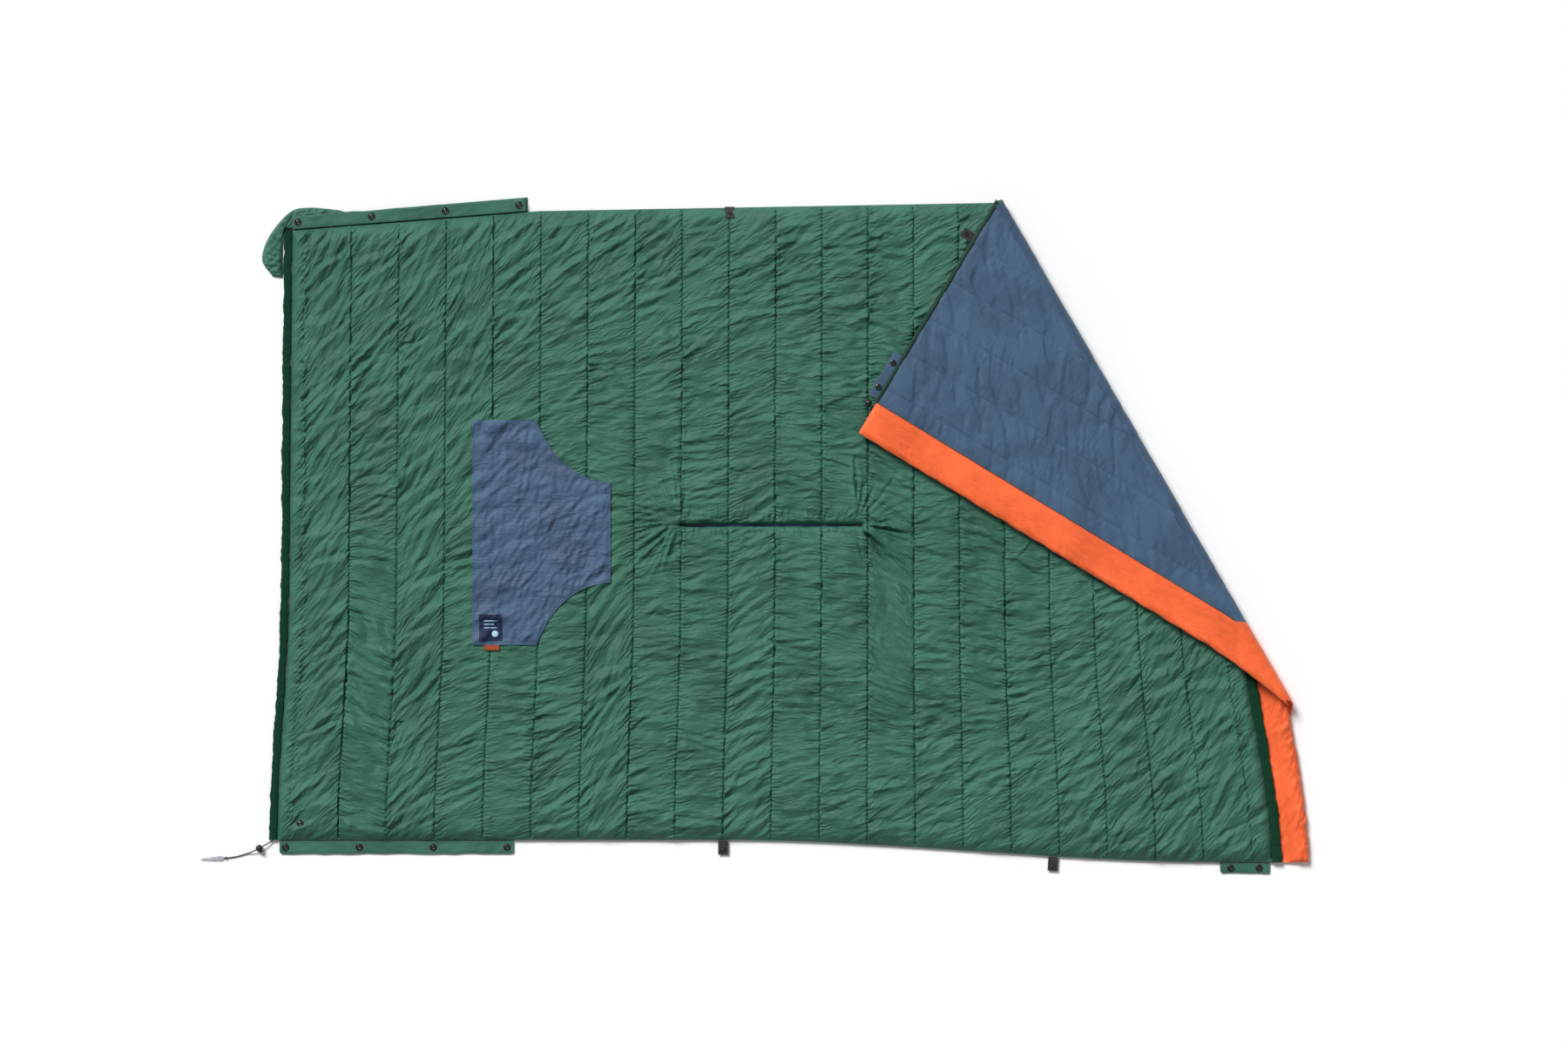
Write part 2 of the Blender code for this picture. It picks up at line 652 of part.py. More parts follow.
def pocket():
    """The hand pocket sewn on the shell, wide at its base, with a curved mouth at each side."""
    low = LOFT + GAP
    x, half, top_half = POCKET_START, POCKET_BASE / 2, POCKET_MOUTH_END / 2
    start = (x + POCKET_SIDE, half)
    end = (x + POCKET_DEPTH, top_half)
    bend = (start[0] + POCKET_MOUTH_CURVE[0], half - POCKET_MOUTH_CURVE[1])
    mouth = []
    for i in range(9):
        u = i / 8
        mouth.append(tuple(
            (1 - u) ** 2 * start[k] + 2 * u * (1 - u) * bend[k] + u**2 * end[k] for k in (0, 1)
        ))
    lower = [(px, -py) for px, py in reversed(mouth)]
    outline = [(x, half), *mouth, *lower, (x, -half)]
    shifted = [(px, py + POCKET_Y) for px, py in outline]
    prism("pocket_panel", shifted, low, low + CLOTH, "lining_blue")
    base_y = POCKET_Y - half
    label_low = (x + LABEL_INSET[0], base_y + LABEL_INSET[1], low + CLOTH + GAP)
    label_high = (label_low[0] + LABEL_SIZE[0], label_low[1] + LABEL_SIZE[1], label_low[2] + CLOTH)
    box("pocket_label", label_low, label_high, "label_navy")
    tag_low = (x + TAG_INSET, base_y - GAP - TAG_SIZE[1], low)
    box("pocket_tag", tag_low, (tag_low[0] + TAG_SIZE[0], base_y - GAP, low + CLOTH), "tag_orange")


def neck_zip():
    """Tapes, chain, slider and pull in the slit. The slider is at its head end, the zip closed."""
    low, high = SLIT_START + GAP, SLIT_START + SLIT_LENGTH - GAP
    chain, wall = ZIP_CHAIN_WIDTH / 2, SLIT_WIDTH / 2 - GAP
    for name, near, far in (
        ("upper_zip_tape", chain + GAP, wall), ("lower_zip_tape", -wall, -chain - GAP),
    ):
        box(name, (low, SLIT_Y + near, ZIP_TAPE_Z), (high, SLIT_Y + far, ZIP_TAPE_Z + CLOTH), "shell_green")
    chain_top = ZIP_TAPE_Z + ZIP_CHAIN_HEIGHT
    box("zip_chain", (low, SLIT_Y - chain, ZIP_TAPE_Z), (high, SLIT_Y + chain, chain_top), "shell_green")
    length, width, height = SLIDER_SIZE
    pivot = Vector((high - length / 2 - 0.002, SLIT_Y, chain_top + GAP + height + 0.0016))
    frame = frame_empty("zip_pull_hinge", pivot, (0, 1, 0))
    base = -0.0016
    post_gap = PULL_SIZE[1] / 2 + GAP
    outline = [(-width / 2, base - height), (width / 2, base - height), (width / 2, base), (post_gap + 0.001, base),
               (post_gap + 0.001, 0.0012), (post_gap, 0.0012), (post_gap, base), (-post_gap, base),
               (-post_gap, 0.0012), (-post_gap - 0.001, 0.0012), (-post_gap - 0.001, base), (-width / 2, base)]
    half = length / 2
    count = len(outline)
    vertices = [(a, -half, z) for a, z in outline] + [(a, half, z) for a, z in outline]
    sides = [(i, (i + 1) % count, count + (i + 1) % count, count + i) for i in range(count)]
    ends = [tuple(range(count)), tuple(reversed(range(count, 2 * count)))]
    slider = add("zip_slider", mesh_of("zip_slider", vertices, sides + ends), "black_plastic", parent=frame)
    pin_hole = bpy.data.meshes.new("pull_pin_space")
    body = bmesh.new()
    sideways = Matrix.Rotation(math.pi / 2, 4, "Y")
    bmesh.ops.create_cone(
        body, cap_ends=True, segments=12, radius1=PULL_PIN_RADIUS + 0.0002, radius2=PULL_PIN_RADIUS + 0.0002,
        depth=0.02, matrix=sideways,
    )
    body.to_mesh(pin_hole)
    body.free()
    cut(slider, add("pull_pin_space", pin_hole, None, parent=frame))
    long, wide, thick = PULL_SIZE
    tab = [(-wide / 2, 0.0010), (wide / 2, 0.0010), (wide / 2, -long + 0.002), (wide / 2 - 0.0012, -long),
           (-wide / 2 + 0.0012, -long), (-wide / 2, -long + 0.002)]
    pull = prism("zip_pull", tab, -thick / 2, thick / 2, "black_plastic", parent=frame)
    pin = bpy.data.meshes.new("pull_pin")
    body = bmesh.new()
    bmesh.ops.create_cone(
        body, cap_ends=True, segments=12, radius1=PULL_PIN_RADIUS, radius2=PULL_PIN_RADIUS,
        depth=wide + 2 * GAP + 0.002, matrix=sideways,
    )
    body.to_mesh(pin)
    body.free()
    cut(pull, add("pull_pin", pin, None, parent=frame), "UNION")


def cord_lock(name, centre, cord_direction, press, corner=None):
    """A ball lock: a hollow ball, its plunger and spring. The plunger slides along the frame's Z.
    press is the direction that the plunger is pushed in."""
    axis = -Vector(press).normalized()
    side = Vector(cord_direction)
    side = (side - side.dot(axis) * axis).normalized()
    frame = Matrix((side, axis.cross(side), axis)).transposed().to_4x4()
    frame.translation = Vector(centre)
    place = bpy.data.objects.new(name + "_axis", None)
    bpy.context.scene.collection.objects.link(place)
    if corner:
        place.parent = corner
        place.matrix_parent_inverse = FLAT_FRAMES[corner.name].inverted()
    place.matrix_basis = frame
    bore, floor, mouth = LOCK_BORE_RADIUS, -LOCK_FLOOR, LOCK_MOUTH
    ball = []
    for i in range(8):
        angle = -math.pi / 2 + (math.asin(mouth / LOCK_RADIUS) + math.pi / 2) * i / 7
        ball.append((LOCK_RADIUS * math.cos(angle), LOCK_RADIUS * math.sin(angle)))
    ball[0] = (0, -LOCK_RADIUS)
    barrel = turned(name + "_barrel", ball + [(bore, mouth), (bore, floor), (0, floor)],
                    "black_plastic", parent=place)
    hole = bpy.data.meshes.new(name + "_cord_hole")
    body = bmesh.new()
    bmesh.ops.create_cone(
        body, cap_ends=True, segments=12, radius1=LOCK_CORD_HOLE, radius2=LOCK_CORD_HOLE,
        depth=0.03, matrix=Matrix.Rotation(math.pi / 2, 4, "Y"),
    )
    body.to_mesh(hole)
    body.free()
    cut(barrel, add(name + "_cord_hole", hole, None, parent=place))
    lower = -LOCK_CORD_HOLE - 0.0010
    upper = lower + PLUNGER_LENGTH
    plunger = turned(
        name + "_plunger",
        [(0, lower), (PLUNGER_RADIUS, lower), (PLUNGER_RADIUS, upper - 0.001),
         (PLUNGER_RADIUS - 0.0008, upper), (0, upper)],
        "black_plastic", parent=place,
    )
    slot = box(
        name + "_slot", (-0.01, -LOCK_CORD_HOLE, -LOCK_CORD_HOLE), (0.01, LOCK_CORD_HOLE, LOCK_CORD_HOLE + PLUNGER_TRAVEL),
        parent=place,
    )
    cut(plunger, slot)
    coil_radius = LOCK_BORE_RADIUS - SPRING_WIRE - 0.0010
    bottom, top = floor + SPRING_WIRE + 0.0001, lower - SPRING_WIRE - 0.0001
    steps = SPRING_TURNS * 16
    points = []
    for i in range(steps + 1):
        turn = 2 * math.pi * i / 16
        points.append((coil_radius * math.cos(turn), coil_radius * math.sin(turn), bottom + (top - bottom) * i / steps))
    spring = tube(name + "_spring", points, SPRING_WIRE, "spring_steel")
    spring.parent = place


def tube(name, points, radius, finish, resolution=2):
    """A round bar along points, as a curve with filled caps."""
    data = bpy.data.curves.new(name, "CURVE")
    data.dimensions = "3D"
    line = data.splines.new("POLY")
    line.points.add(len(points) - 1)
    for point, place in zip(line.points, points):
        point.co = (*place, 1)
    data.bevel_depth = radius
    data.bevel_resolution = resolution
    data.use_fill_caps = True
    made = bpy.data.objects.new(name, data)
    bpy.context.scene.collection.objects.link(made)
    data.materials.append(material(finish))
    return made


def through(points, per_span):
    """A smooth curve through the points (Catmull-Rom), with per_span steps in each span."""
    ring = [2 * Vector(points[0]) - Vector(points[1]), *map(Vector, points), 2 * Vector(points[-1]) - Vector(points[-2])]
    found = []
    for a, b, c, d in zip(ring, ring[1:], ring[2:], ring[3:]):
        for i in range(per_span):
            u = i / per_span
            found.append(0.5 * (2 * b + (c - a) * u + (2 * a - 5 * b + 4 * c - d) * u**2 + (3 * b - a - 3 * c + d) * u**3))
    found.append(Vector(points[-1]))
    return found


def loose_cord_end():
    """The drawcord's free end at the foot, with its lock and pull tag."""
    tube("foot_cord_tail", [tuple(p) for p in through(TAIL_ROUTE, 2)], DRAWCORD_RADIUS, "cord_black")
    centre = Vector(TAIL_ROUTE[FOOT_LOCK_AT])
    direction = Vector(TAIL_ROUTE[FOOT_LOCK_AT + 1]) - Vector(TAIL_ROUTE[FOOT_LOCK_AT - 1])
    direction.z = 0
    press = Vector((direction.y, -direction.x, 0)) * -1
    if press.y < 0:
        press = -press
    cord_lock("foot_lock", centre, direction, press)
    end, before = Vector(TAIL_ROUTE[-1]), Vector(TAIL_ROUTE[-2])
    along = (end - before).normalized()
    frame = frame_empty("tail_tag_place", Vector((end.x, end.y, 0)), along)
    long, wide, thick = TAIL_TAG_SIZE
    start = GAP + 0.0002
    outline = [(start, -wide * 0.30), (0.004, -wide / 2), (long * 0.45, -wide * 0.42), (long, -wide * 0.26),
               (long, wide * 0.26), (long * 0.45, wide * 0.42), (0.004, wide / 2), (start, wide * 0.30)]
    prism("foot_cord_tag", outline, 0.0, thick, "clear_tag", parent=frame)


def head_lock(corner):
    """The lock on the head drawcord, just past the corner, and the short cord end that it holds."""
    out = plan(LENGTH, 1)
    x = out.x + HEM_WIDTH / 2 + GAP
    start = out.y + GAP
    centre = Vector((x, start + LOCK_RADIUS + 0.006, HEAD_HEM_Z + 0.002))
    cord_lock("head_lock", centre, (0, 1, 0), (-1, 0, 0), corner)
    path = [
        (x, start, HEAD_HEM_Z), (x, centre.y - LOCK_RADIUS, centre.z), (x, centre.y, centre.z),
        (x, centre.y + LOCK_RADIUS, centre.z), (x, centre.y + LOCK_RADIUS + 0.006, centre.z),
    ]
    ring = [
        (DRAWCORD_RADIUS * math.cos(2 * math.pi * i / 8), DRAWCORD_RADIUS * math.sin(2 * math.pi * i / 8))
        for i in range(8)
    ]
    swept("head_cord_end", ring, path, "cord_black", flat_parent=corner)


def main():
    for leftover in list(bpy.data.objects):
        bpy.data.objects.remove(leftover)
    start, along = fold_line()
    hinge_point = start + Vector((0, 0, LOFT + FOLD_GAP / 2))
    corner = frame_empty("corner_hinge", hinge_point, along)
    body_cut, corner_keep = quilt_layers(corner)
    hems(corner, body_cut, corner_keep)
    collars(corner, body_cut, corner_keep)
    draught_flap()
    plackets()
    head_tabs(corner)
    straps(corner)
    body_snap()
    pocket()
    neck_zip()
    loose_cord_end()
    head_lock(corner)
    corner.matrix_basis = corner.matrix_basis @ Matrix.Rotation(FOLD_TURN, 4, "X")
    bpy.context.view_layer.update()


main()
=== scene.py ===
"""Looks of the camp quilt: wrinkled cloth, padding, trim, snaps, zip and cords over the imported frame.

Metres, in the frame's own axes: X from the foot end to the head end, Y to the upper long edge, Z up.
Cloth coordinates are s, metres from the foot edge, and v, metres from the lower long edge.
The head corner is shaped flat, as it lies unfolded, and then turned over with folded().
"""

import json
import math

import bmesh
import bpy
import numpy as np
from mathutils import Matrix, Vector


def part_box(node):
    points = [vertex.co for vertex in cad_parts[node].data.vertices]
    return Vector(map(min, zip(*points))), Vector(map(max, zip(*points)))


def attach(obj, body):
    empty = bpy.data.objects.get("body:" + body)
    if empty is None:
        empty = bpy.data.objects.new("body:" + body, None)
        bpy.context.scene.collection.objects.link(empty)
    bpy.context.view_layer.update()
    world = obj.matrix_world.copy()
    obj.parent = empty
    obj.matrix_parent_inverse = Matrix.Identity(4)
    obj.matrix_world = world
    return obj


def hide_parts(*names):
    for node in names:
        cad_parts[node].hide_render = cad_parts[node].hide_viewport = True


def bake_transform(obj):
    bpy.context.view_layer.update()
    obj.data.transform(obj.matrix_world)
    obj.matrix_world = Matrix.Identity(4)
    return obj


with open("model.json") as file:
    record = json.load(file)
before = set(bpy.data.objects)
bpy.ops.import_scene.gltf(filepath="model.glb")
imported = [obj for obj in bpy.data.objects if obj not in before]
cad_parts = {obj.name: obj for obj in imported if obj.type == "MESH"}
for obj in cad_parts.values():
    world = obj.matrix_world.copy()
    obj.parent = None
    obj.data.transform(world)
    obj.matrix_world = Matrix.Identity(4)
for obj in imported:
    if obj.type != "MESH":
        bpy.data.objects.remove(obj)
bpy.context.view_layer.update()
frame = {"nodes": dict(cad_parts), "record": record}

# Driving sizes, the same as the solids'
CHAMBERS = 20
PITCH = 0.09545
FOOT_BAND = 0.026
HEAD_BAND = 0.042
WIDTH = 1.26
LENGTH = FOOT_BAND + CHAMBERS * PITCH + HEAD_BAND
FOOT_LEAN = 0.030
HEAD_LEAN = 0.085
LOWER_SAG = 0.045
UPPER_RISE = 0.035
CORNER_PULL = 0.030
CORNER_PULL_LENGTH = 0.50
SLIT = (0.758, 1.120, 0.005)
HEM_WIDTH = 0.018
CORNER_SIDE = 0.532
LOCK_RADIUS = 0.0072

# Padding: heights of the quilt's middle, of the shell's base, of its seams, chambers and long edges
MIDDLE_Z = 0.0042
BODY_BASE_Z = 0.0026
SEAM_Z = 0.0158
LOFT_Z = 0.0198
EDGE_Z = 0.0056
LINING_BASE_Z = 0.0050
EDGE_REACH = 0.028
BEND_REACH = 0.008
BEND_BULGE = 0.012
CUT_GAP = 0.0006

# Trim
CORD_WIDTH = 0.0025
STITCH_LENGTH = 0.0026
STITCH_GAP = 0.0012
SNAP_RADIUS = 0.0075
STRAP_SNAP_RADIUS = 0.0052
PLACKET = (0.472, 0.026)
HEAD_TAB = (0.100, 0.021)
STRAP_LENGTH = 0.028
STRAP_WIDTH = 0.020
COLLAR_ROUND = 0.15
COLLAR_RUN = 1.37

# Grid of the quilted cloth
FOOT_CELLS = 5
CELLS_PER_CHAMBER = 40
HEAD_CELLS = 8
ACROSS_CELLS = 520

# Colours
GREEN = (0.034, 0.128, 0.086)
BLUE = (0.048, 0.095, 0.165)
ORANGE = (0.900, 0.135, 0.035)
PILE_GREEN = (0.003, 0.024, 0.012)
BLACK = (0.008, 0.008, 0.010)
NAVY = (0.006, 0.016, 0.052)

# The loose drawcord's route, from the lock to its tag
TAIL_ROUTE = [
    (-0.0670, -0.6318, 0.0034),
    (-0.0765, -0.6374, 0.0062),
    (-0.0855, -0.6425, 0.0074),
    (-0.0930, -0.6466, 0.0074),
    (-0.1005, -0.6507, 0.0074),
    (-0.1062, -0.6534, 0.0062),
    (-0.1119, -0.6556, 0.0036),
    (-0.1181, -0.6578, 0.0018),
    (-0.1255, -0.6602, 0.0013),
    (-0.1331, -0.6624, 0.0013),
    (-0.1415, -0.6642, 0.0013),
    (-0.1497, -0.6656, 0.0013),
    (-0.1575, -0.6664, 0.0013),
    (-0.1645, -0.6668, 0.0013),
]


# ---- the quilt's plan ----

def smooth(x):
    """An eased step from 0 to 1: 3x^2 - 2x^3, held at its ends."""
    x = np.clip(x, 0.0, 1.0)
    return x * x * (3 - 2 * x)


def lean(t):
    """How far an end edge leans at share t across: an eased step over its first part, and a straight rise."""
    return 0.65 * smooth(t / 0.4) + 0.35 * t


def plan(s, t):
    """x and y of the point s metres from the foot edge and t (0 to 1) across, as the solids have it."""
    share = s / LENGTH
    x = s - FOOT_BAND - FOOT_LEAN * (1 - lean(t)) * (1 - share) - HEAD_LEAN * share**4 * lean(t)
    low = -WIDTH / 2 - LOWER_SAG * smooth((share - 0.45) / 0.5)
    high = WIDTH / 2 - CORNER_PULL * np.maximum(0.0, 1 - s / CORNER_PULL_LENGTH) + UPPER_RISE * share
    return x, low + t * (high - low)


def joint(name):
    """A joint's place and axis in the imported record."""
    found = next(j for j in frame["record"]["behaviour"]["joints"] if j["name"] == name)
    return np.array(found.get("pos_m", (0, 0, 0)), float), np.array(found["axis"], float)


FOLD_AT, FOLD_AXIS = joint("corner_fold")


def folded(points):
    """Half a turn about the fold line: twice the part along the axis, less the point itself."""
    arm = np.asarray(points, float) - FOLD_AT
    return 2 * (arm @ FOLD_AXIS)[..., None] * FOLD_AXIS - arm + FOLD_AT


# ---- meshes ----


def make(name, points, faces, material, uv=None, smooth_shaded=True, crease=None):
    """A mesh object from arrays of points and of faces, each face row padded with -1 where it is a triangle.
    uv has a pair for each point, crease a pair for each face corner."""
    mesh = bpy.data.meshes.new(name)
    points = np.asarray(points, np.float32).reshape(-1, 3)
    faces = np.asarray(faces, np.int64)
    sides = (faces >= 0).sum(1)
    corners = faces[faces >= 0].astype(np.int32)
    mesh.vertices.add(len(points))
    mesh.vertices.foreach_set("co", points.ravel())
    mesh.loops.add(len(corners))
    mesh.loops.foreach_set("vertex_index", corners)
    mesh.polygons.add(len(faces))
    mesh.polygons.foreach_set("loop_start", (np.cumsum(sides) - sides).astype(np.int32))
    mesh.update(calc_edges=True)
    if uv is not None:
        layer = mesh.uv_layers.new(name="cloth")
        layer.data.foreach_set("uv", np.asarray(uv, np.float32).reshape(-1, 2)[corners].ravel())
    if crease is not None:
        layer = mesh.uv_layers.new(name="crease")
        layer.data.foreach_set("uv", np.asarray(crease, np.float32).ravel())
    if smooth_shaded:
        mesh.shade_smooth()
    obj = bpy.data.objects.new(name, mesh)
    bpy.context.scene.collection.objects.link(obj)
    mesh.materials.append(material)
    return obj


def grid_faces(rows, columns, start=0, close_columns=False):
    """Quads over a grid whose point (i, j) is start + i * columns + j, closed round its columns if asked."""
    j = np.arange(columns if close_columns else columns - 1)
    i, j = np.meshgrid(np.arange(rows - 1), j, indexing="ij")
    here, below, after = i * columns, (i + 1) * columns, (j + 1) % columns
    corners = [here + j, below + j, below + after, here + after]
    return start + np.stack([c.ravel() for c in corners], -1)


def outward(obj):
    """Turns every face outwards."""
    work = bmesh.new()
    work.from_mesh(obj.data)
    bmesh.ops.recalc_face_normals(work, faces=work.faces)
    work.to_mesh(obj.data)
    work.free()
    return obj


def slab(name, top, bottom, material, uv, sharp=40):
    """A closed sheet between two grids of points: both grids and a rim of quads round them."""
    rows, columns = top.shape[:2]
    count = rows * columns
    points = np.concatenate([top.reshape(-1, 3), bottom.reshape(-1, 3)])
    i, j = np.arange(rows), np.arange(columns)
    ring = np.concatenate([
        i * columns, (rows - 1) * columns + j[1:], i[::-1][1:] * columns + columns - 1, j[::-1][1:-1],
    ])
    ahead = np.roll(ring, -1)
    rim = np.stack([ring, ahead, ahead + count, ring + count], -1)
    under = grid_faces(rows, columns, count)[:, ::-1]
    faces = np.concatenate([grid_faces(rows, columns), under, rim[:, ::-1]])
    obj = outward(make(name, points, faces, material, np.concatenate([uv.reshape(-1, 2)] * 2)))
    obj.data.set_sharp_from_angle(angle=math.radians(sharp))
    return obj


def pipe(name, rings, material, uv=None):
    """A closed tube through rings of points (station, round, xyz). Each end is a fan of triangles about the
    middle of its ring."""
    count, around = rings.shape[:2]
    middles = np.array([rings[0].mean(0), rings[-1].mean(0)])
    points = np.concatenate([rings.reshape(-1, 3), middles])
    k = np.arange(around)
    ahead = (k + 1) % around
    none = np.full(around, -1)
    start = (count - 1) * around
    first, last = np.full(around, count * around), np.full(around, count * around + 1)
    faces = np.concatenate([
        grid_faces(count, around, close_columns=True),
        np.stack([first, k, ahead, none], -1),
        np.stack([last, start + ahead, start + k, none], -1),
    ])
    if uv is not None:
        uv = np.concatenate([uv.reshape(-1, 2), uv.reshape(-1, 2)[[0, start]]])
    obj = outward(make(name, points, faces, material, uv))
    obj.data.set_sharp_from_angle(angle=math.radians(50))
    return obj


def turned(name, profile, centre, axis, material, segments):
    """A profile of (radius, height) turned about an axis through centre: rings of points at each height."""
    axis = np.asarray(axis, float) / np.linalg.norm(axis)
    side = np.cross(axis, (0.3, 0.9, 0.2) if abs(axis[2]) > 0.5 else (0, 0, 1))
    side /= np.linalg.norm(side)
    other = np.cross(axis, side)
    angle = np.linspace(0, 2 * np.pi, segments, endpoint=False)
    round_ = np.cos(angle)[:, None] * side + np.sin(angle)[:, None] * other
    profile = np.asarray(profile, float)
    rings = np.asarray(centre) + profile[:, 0, None, None] * round_ + profile[:, 1, None, None] * axis
    return pipe(name, rings, material)


def along_path(path, section):
    """Rings of a section of (side, height) points carried along a path, its side level and across it."""
    path = np.asarray(path, float)
    ahead = np.gradient(path, axis=0)
    ahead /= np.linalg.norm(ahead, axis=1)[:, None]
    side = np.cross(ahead, (0.0, 0.0, 1.0))
    side /= np.linalg.norm(side, axis=1)[:, None]
    over = np.cross(side, ahead)
    section = np.broadcast_to(section, (len(path), *np.shape(section)[-2:]))
    return path[:, None] + section[..., 0, None] * side[:, None] + section[..., 1, None] * over[:, None]


def oval(width, height, count, squareness=0.8):
    """A rounded section: a power below 1 of the cosine and sine squares it off."""
    angle = np.linspace(0, 2 * np.pi, count, endpoint=False)
    across, up = np.cos(angle), np.sin(angle)
    return np.stack([
        width / 2 * np.sign(across) * np.abs(across) ** squareness,
        height / 2 * np.sign(up) * np.abs(up) ** squareness,
    ], -1)


def through(points, per_span):
    """A smooth curve through the points (Catmull-Rom), with per_span steps in each span."""
    p = np.asarray(points, float)
    p = np.concatenate([[2 * p[0] - p[1]], p, [2 * p[-1] - p[-2]]])
    u = (np.arange(per_span) / per_span)[None, :, None]
    a, b, c, d = (p[i:len(p) - 3 + i, None] for i in range(4))
    curve = 0.5 * (2 * b + (c - a) * u + (2 * a - 5 * b + 4 * c - d) * u**2 + (3 * b - a - 3 * c + d) * u**3)
    return np.concatenate([curve.reshape(-1, p.shape[1]), p[-2:-1]])


def between(table, row, column):
    """A table's value between its cells: the four nearest entries, each weighted by its nearness."""
    i = np.minimum(row.astype(int), table.shape[0] - 2)
    j = np.minimum(column.astype(int), table.shape[1] - 2)
    a, b = row - i, column - j
    return (
        table[i, j] * (1 - a) * (1 - b) + table[i + 1, j] * a * (1 - b)
        + table[i, j + 1] * (1 - a) * b + table[i + 1, j + 1] * a * b
    )


def run_along(path):
    """Metres run at each point of a path."""
    return np.concatenate([[0], np.cumsum(np.linalg.norm(np.diff(path, axis=0), axis=1))])


def fitted(piece, body, *nodes, fill=None):
    """Puts a piece on its body, in the place of the nodes that it stands for; fill is not used."""
    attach(piece, body)
    if nodes:
        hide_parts(*nodes)
    return piece


# ---- noise and wrinkles ----

def noise(x, y, seed):
    """Gradient noise: each lattice corner has a random slope, and smooth weights blend the four of a cell."""
    table = np.random.default_rng(seed).uniform(0, 2 * np.pi, (256, 256))
    i, j = np.floor(x).astype(int), np.floor(y).astype(int)
    fx, fy = x - i, y - j
    ux, uy = fx**3 * (fx * (6 * fx - 15) + 10), fy**3 * (fy * (6 * fy - 15) + 10)

    def corner(a, b):
        angle = table[(i + a) % 256, (j + b) % 256]
        return np.cos(angle) * (fx - a) + np.sin(angle) * (fy - b)

    low = corner(0, 0) * (1 - ux) + corner(1, 0) * ux
    high = corner(0, 1) * (1 - ux) + corner(1, 1) * ux
    return (low * (1 - uy) + high * uy) * 1.5


# Headings of the wrinkles in each chamber, in degrees above the foot-to-head direction,
# at four places across the quilt, from its lower edge to its upper one
HEADING_PLACES = (0.08, 0.42, 0.75, 1.15)
HEADINGS = np.array([
    (45, 48, 55, 58), (-20, -38, 35, 50), (50, 56, 55, 52), (25, 18, 50, 62), (8, 5, 20, 45),
    (30, 8, 5, 40), (48, 60, -12, 42), (12, 10, 5, 35), (5, 0, 8, 30), (38, 30, 12, 25),
    (5, -5, -5, 20), (20, -5, -10, 15), (28, -48, -20, 20), (30, -3, 10, 25), (30, -12, -15, 30),
    (35, 5, -10, 40), (42, 20, -5, 40), (45, 35, 0, 40), (46, 42, 20, 40), (46, 44, 30, 40),
], float)


def chamber_of(s):
    """The number of the chamber at s, counted from the foot end."""
    return np.clip(np.floor((s - FOOT_BAND) / PITCH), 0, CHAMBERS - 1).astype(int)


def heading(s, v):
    """The wrinkles' heading in radians: its chamber's, straight between the places across the quilt."""
    k = chamber_of(s)
    found = np.empty_like(v)
    for chamber in range(CHAMBERS):
        here = k == chamber
        found[here] = np.interp(v[here], HEADING_PLACES, HEADINGS[chamber])
    return np.radians(found)


class Raster:
    """Heights on a square raster over a piece of cloth, added up from single wrinkles."""

    def __init__(self, length, width, cell=0.002):
        self.cell = cell
        self.rows = int(length / cell) + 2
        self.columns = int(width / cell) + 2
        self.height = np.zeros((self.rows, self.columns))

    def add(self, s, v, angle, length, width, height, bend, keep_in_chamber=False, rooted=False):
        """Each wrinkle is a sharp crest with a rounder hollow on its lower side. Across it the crest falls
        off as exp(-|d/w|^1.2) and the hollow, 1.7 widths out, as exp(-(d/0.9w)^2); both taper to nothing at
        its ends. A rooted one is a pleat: it starts at its place at full height and fades to its tip, with
        one steep flank, falling off as exp(-(d/0.75w)^2), and one straight flank, 4.2 widths out."""
        for start in range(0, len(s), 300):
            part = slice(start, start + 300)
            reach = int(np.max(length[part]) / self.cell) + 3
            offset = np.arange(-reach, reach + 1)
            i = (s[part] / self.cell).astype(int)[:, None, None] + offset[None, :, None]
            j = (v[part] / self.cell).astype(int)[:, None, None] + offset[None, None, :]
            i, j = np.broadcast_arrays(i, j)
            ds, dv = i * self.cell - s[part][:, None, None], j * self.cell - v[part][:, None, None]
            cos, sin = np.cos(angle[part])[:, None, None], np.sin(angle[part])[:, None, None]
            share = (ds * cos + dv * sin) / length[part][:, None, None]
            off = dv * cos - ds * sin + bend[part][:, None, None] * share**2
            w = width[part][:, None, None]
            if rooted:
                w = w * (1 + 0.8 * np.clip(share, 0, 1))
                taper = np.clip(1 - share, 0, 1) * (share > -0.02)
                flank = np.clip(1 - off / (4.2 * w), 0, 1)
                shape = np.where(off > 0, flank, np.exp(-(off / (0.75 * w)) ** 2))
            else:
                taper = np.clip(1 - share**2, 0, 1) ** 1.5
                hollow = 0.75 * np.exp(-((off + 1.7 * w) / (0.9 * w)) ** 2)
                shape = np.exp(-np.abs(off / w) ** 1.2) - hollow
            amount = height[part][:, None, None] * taper * shape
            good = (amount != 0) & (i >= 0) & (i < self.rows) & (j >= 0) & (j < self.columns)
            if keep_in_chamber:
                good &= chamber_of(i * self.cell) == chamber_of(s[part])[:, None, None]
            total = np.bincount(i[good] * self.columns + j[good], amount[good], self.rows * self.columns)
            self.height += total.reshape(self.rows, self.columns)

    def at(self, s, v):
        """The height at cloth coordinates, between the raster's own cells."""
        row, column = np.clip(s / self.cell, 0, self.rows - 2), np.clip(v / self.cell, 0, self.columns - 2)
        return between(self.height, row, column)


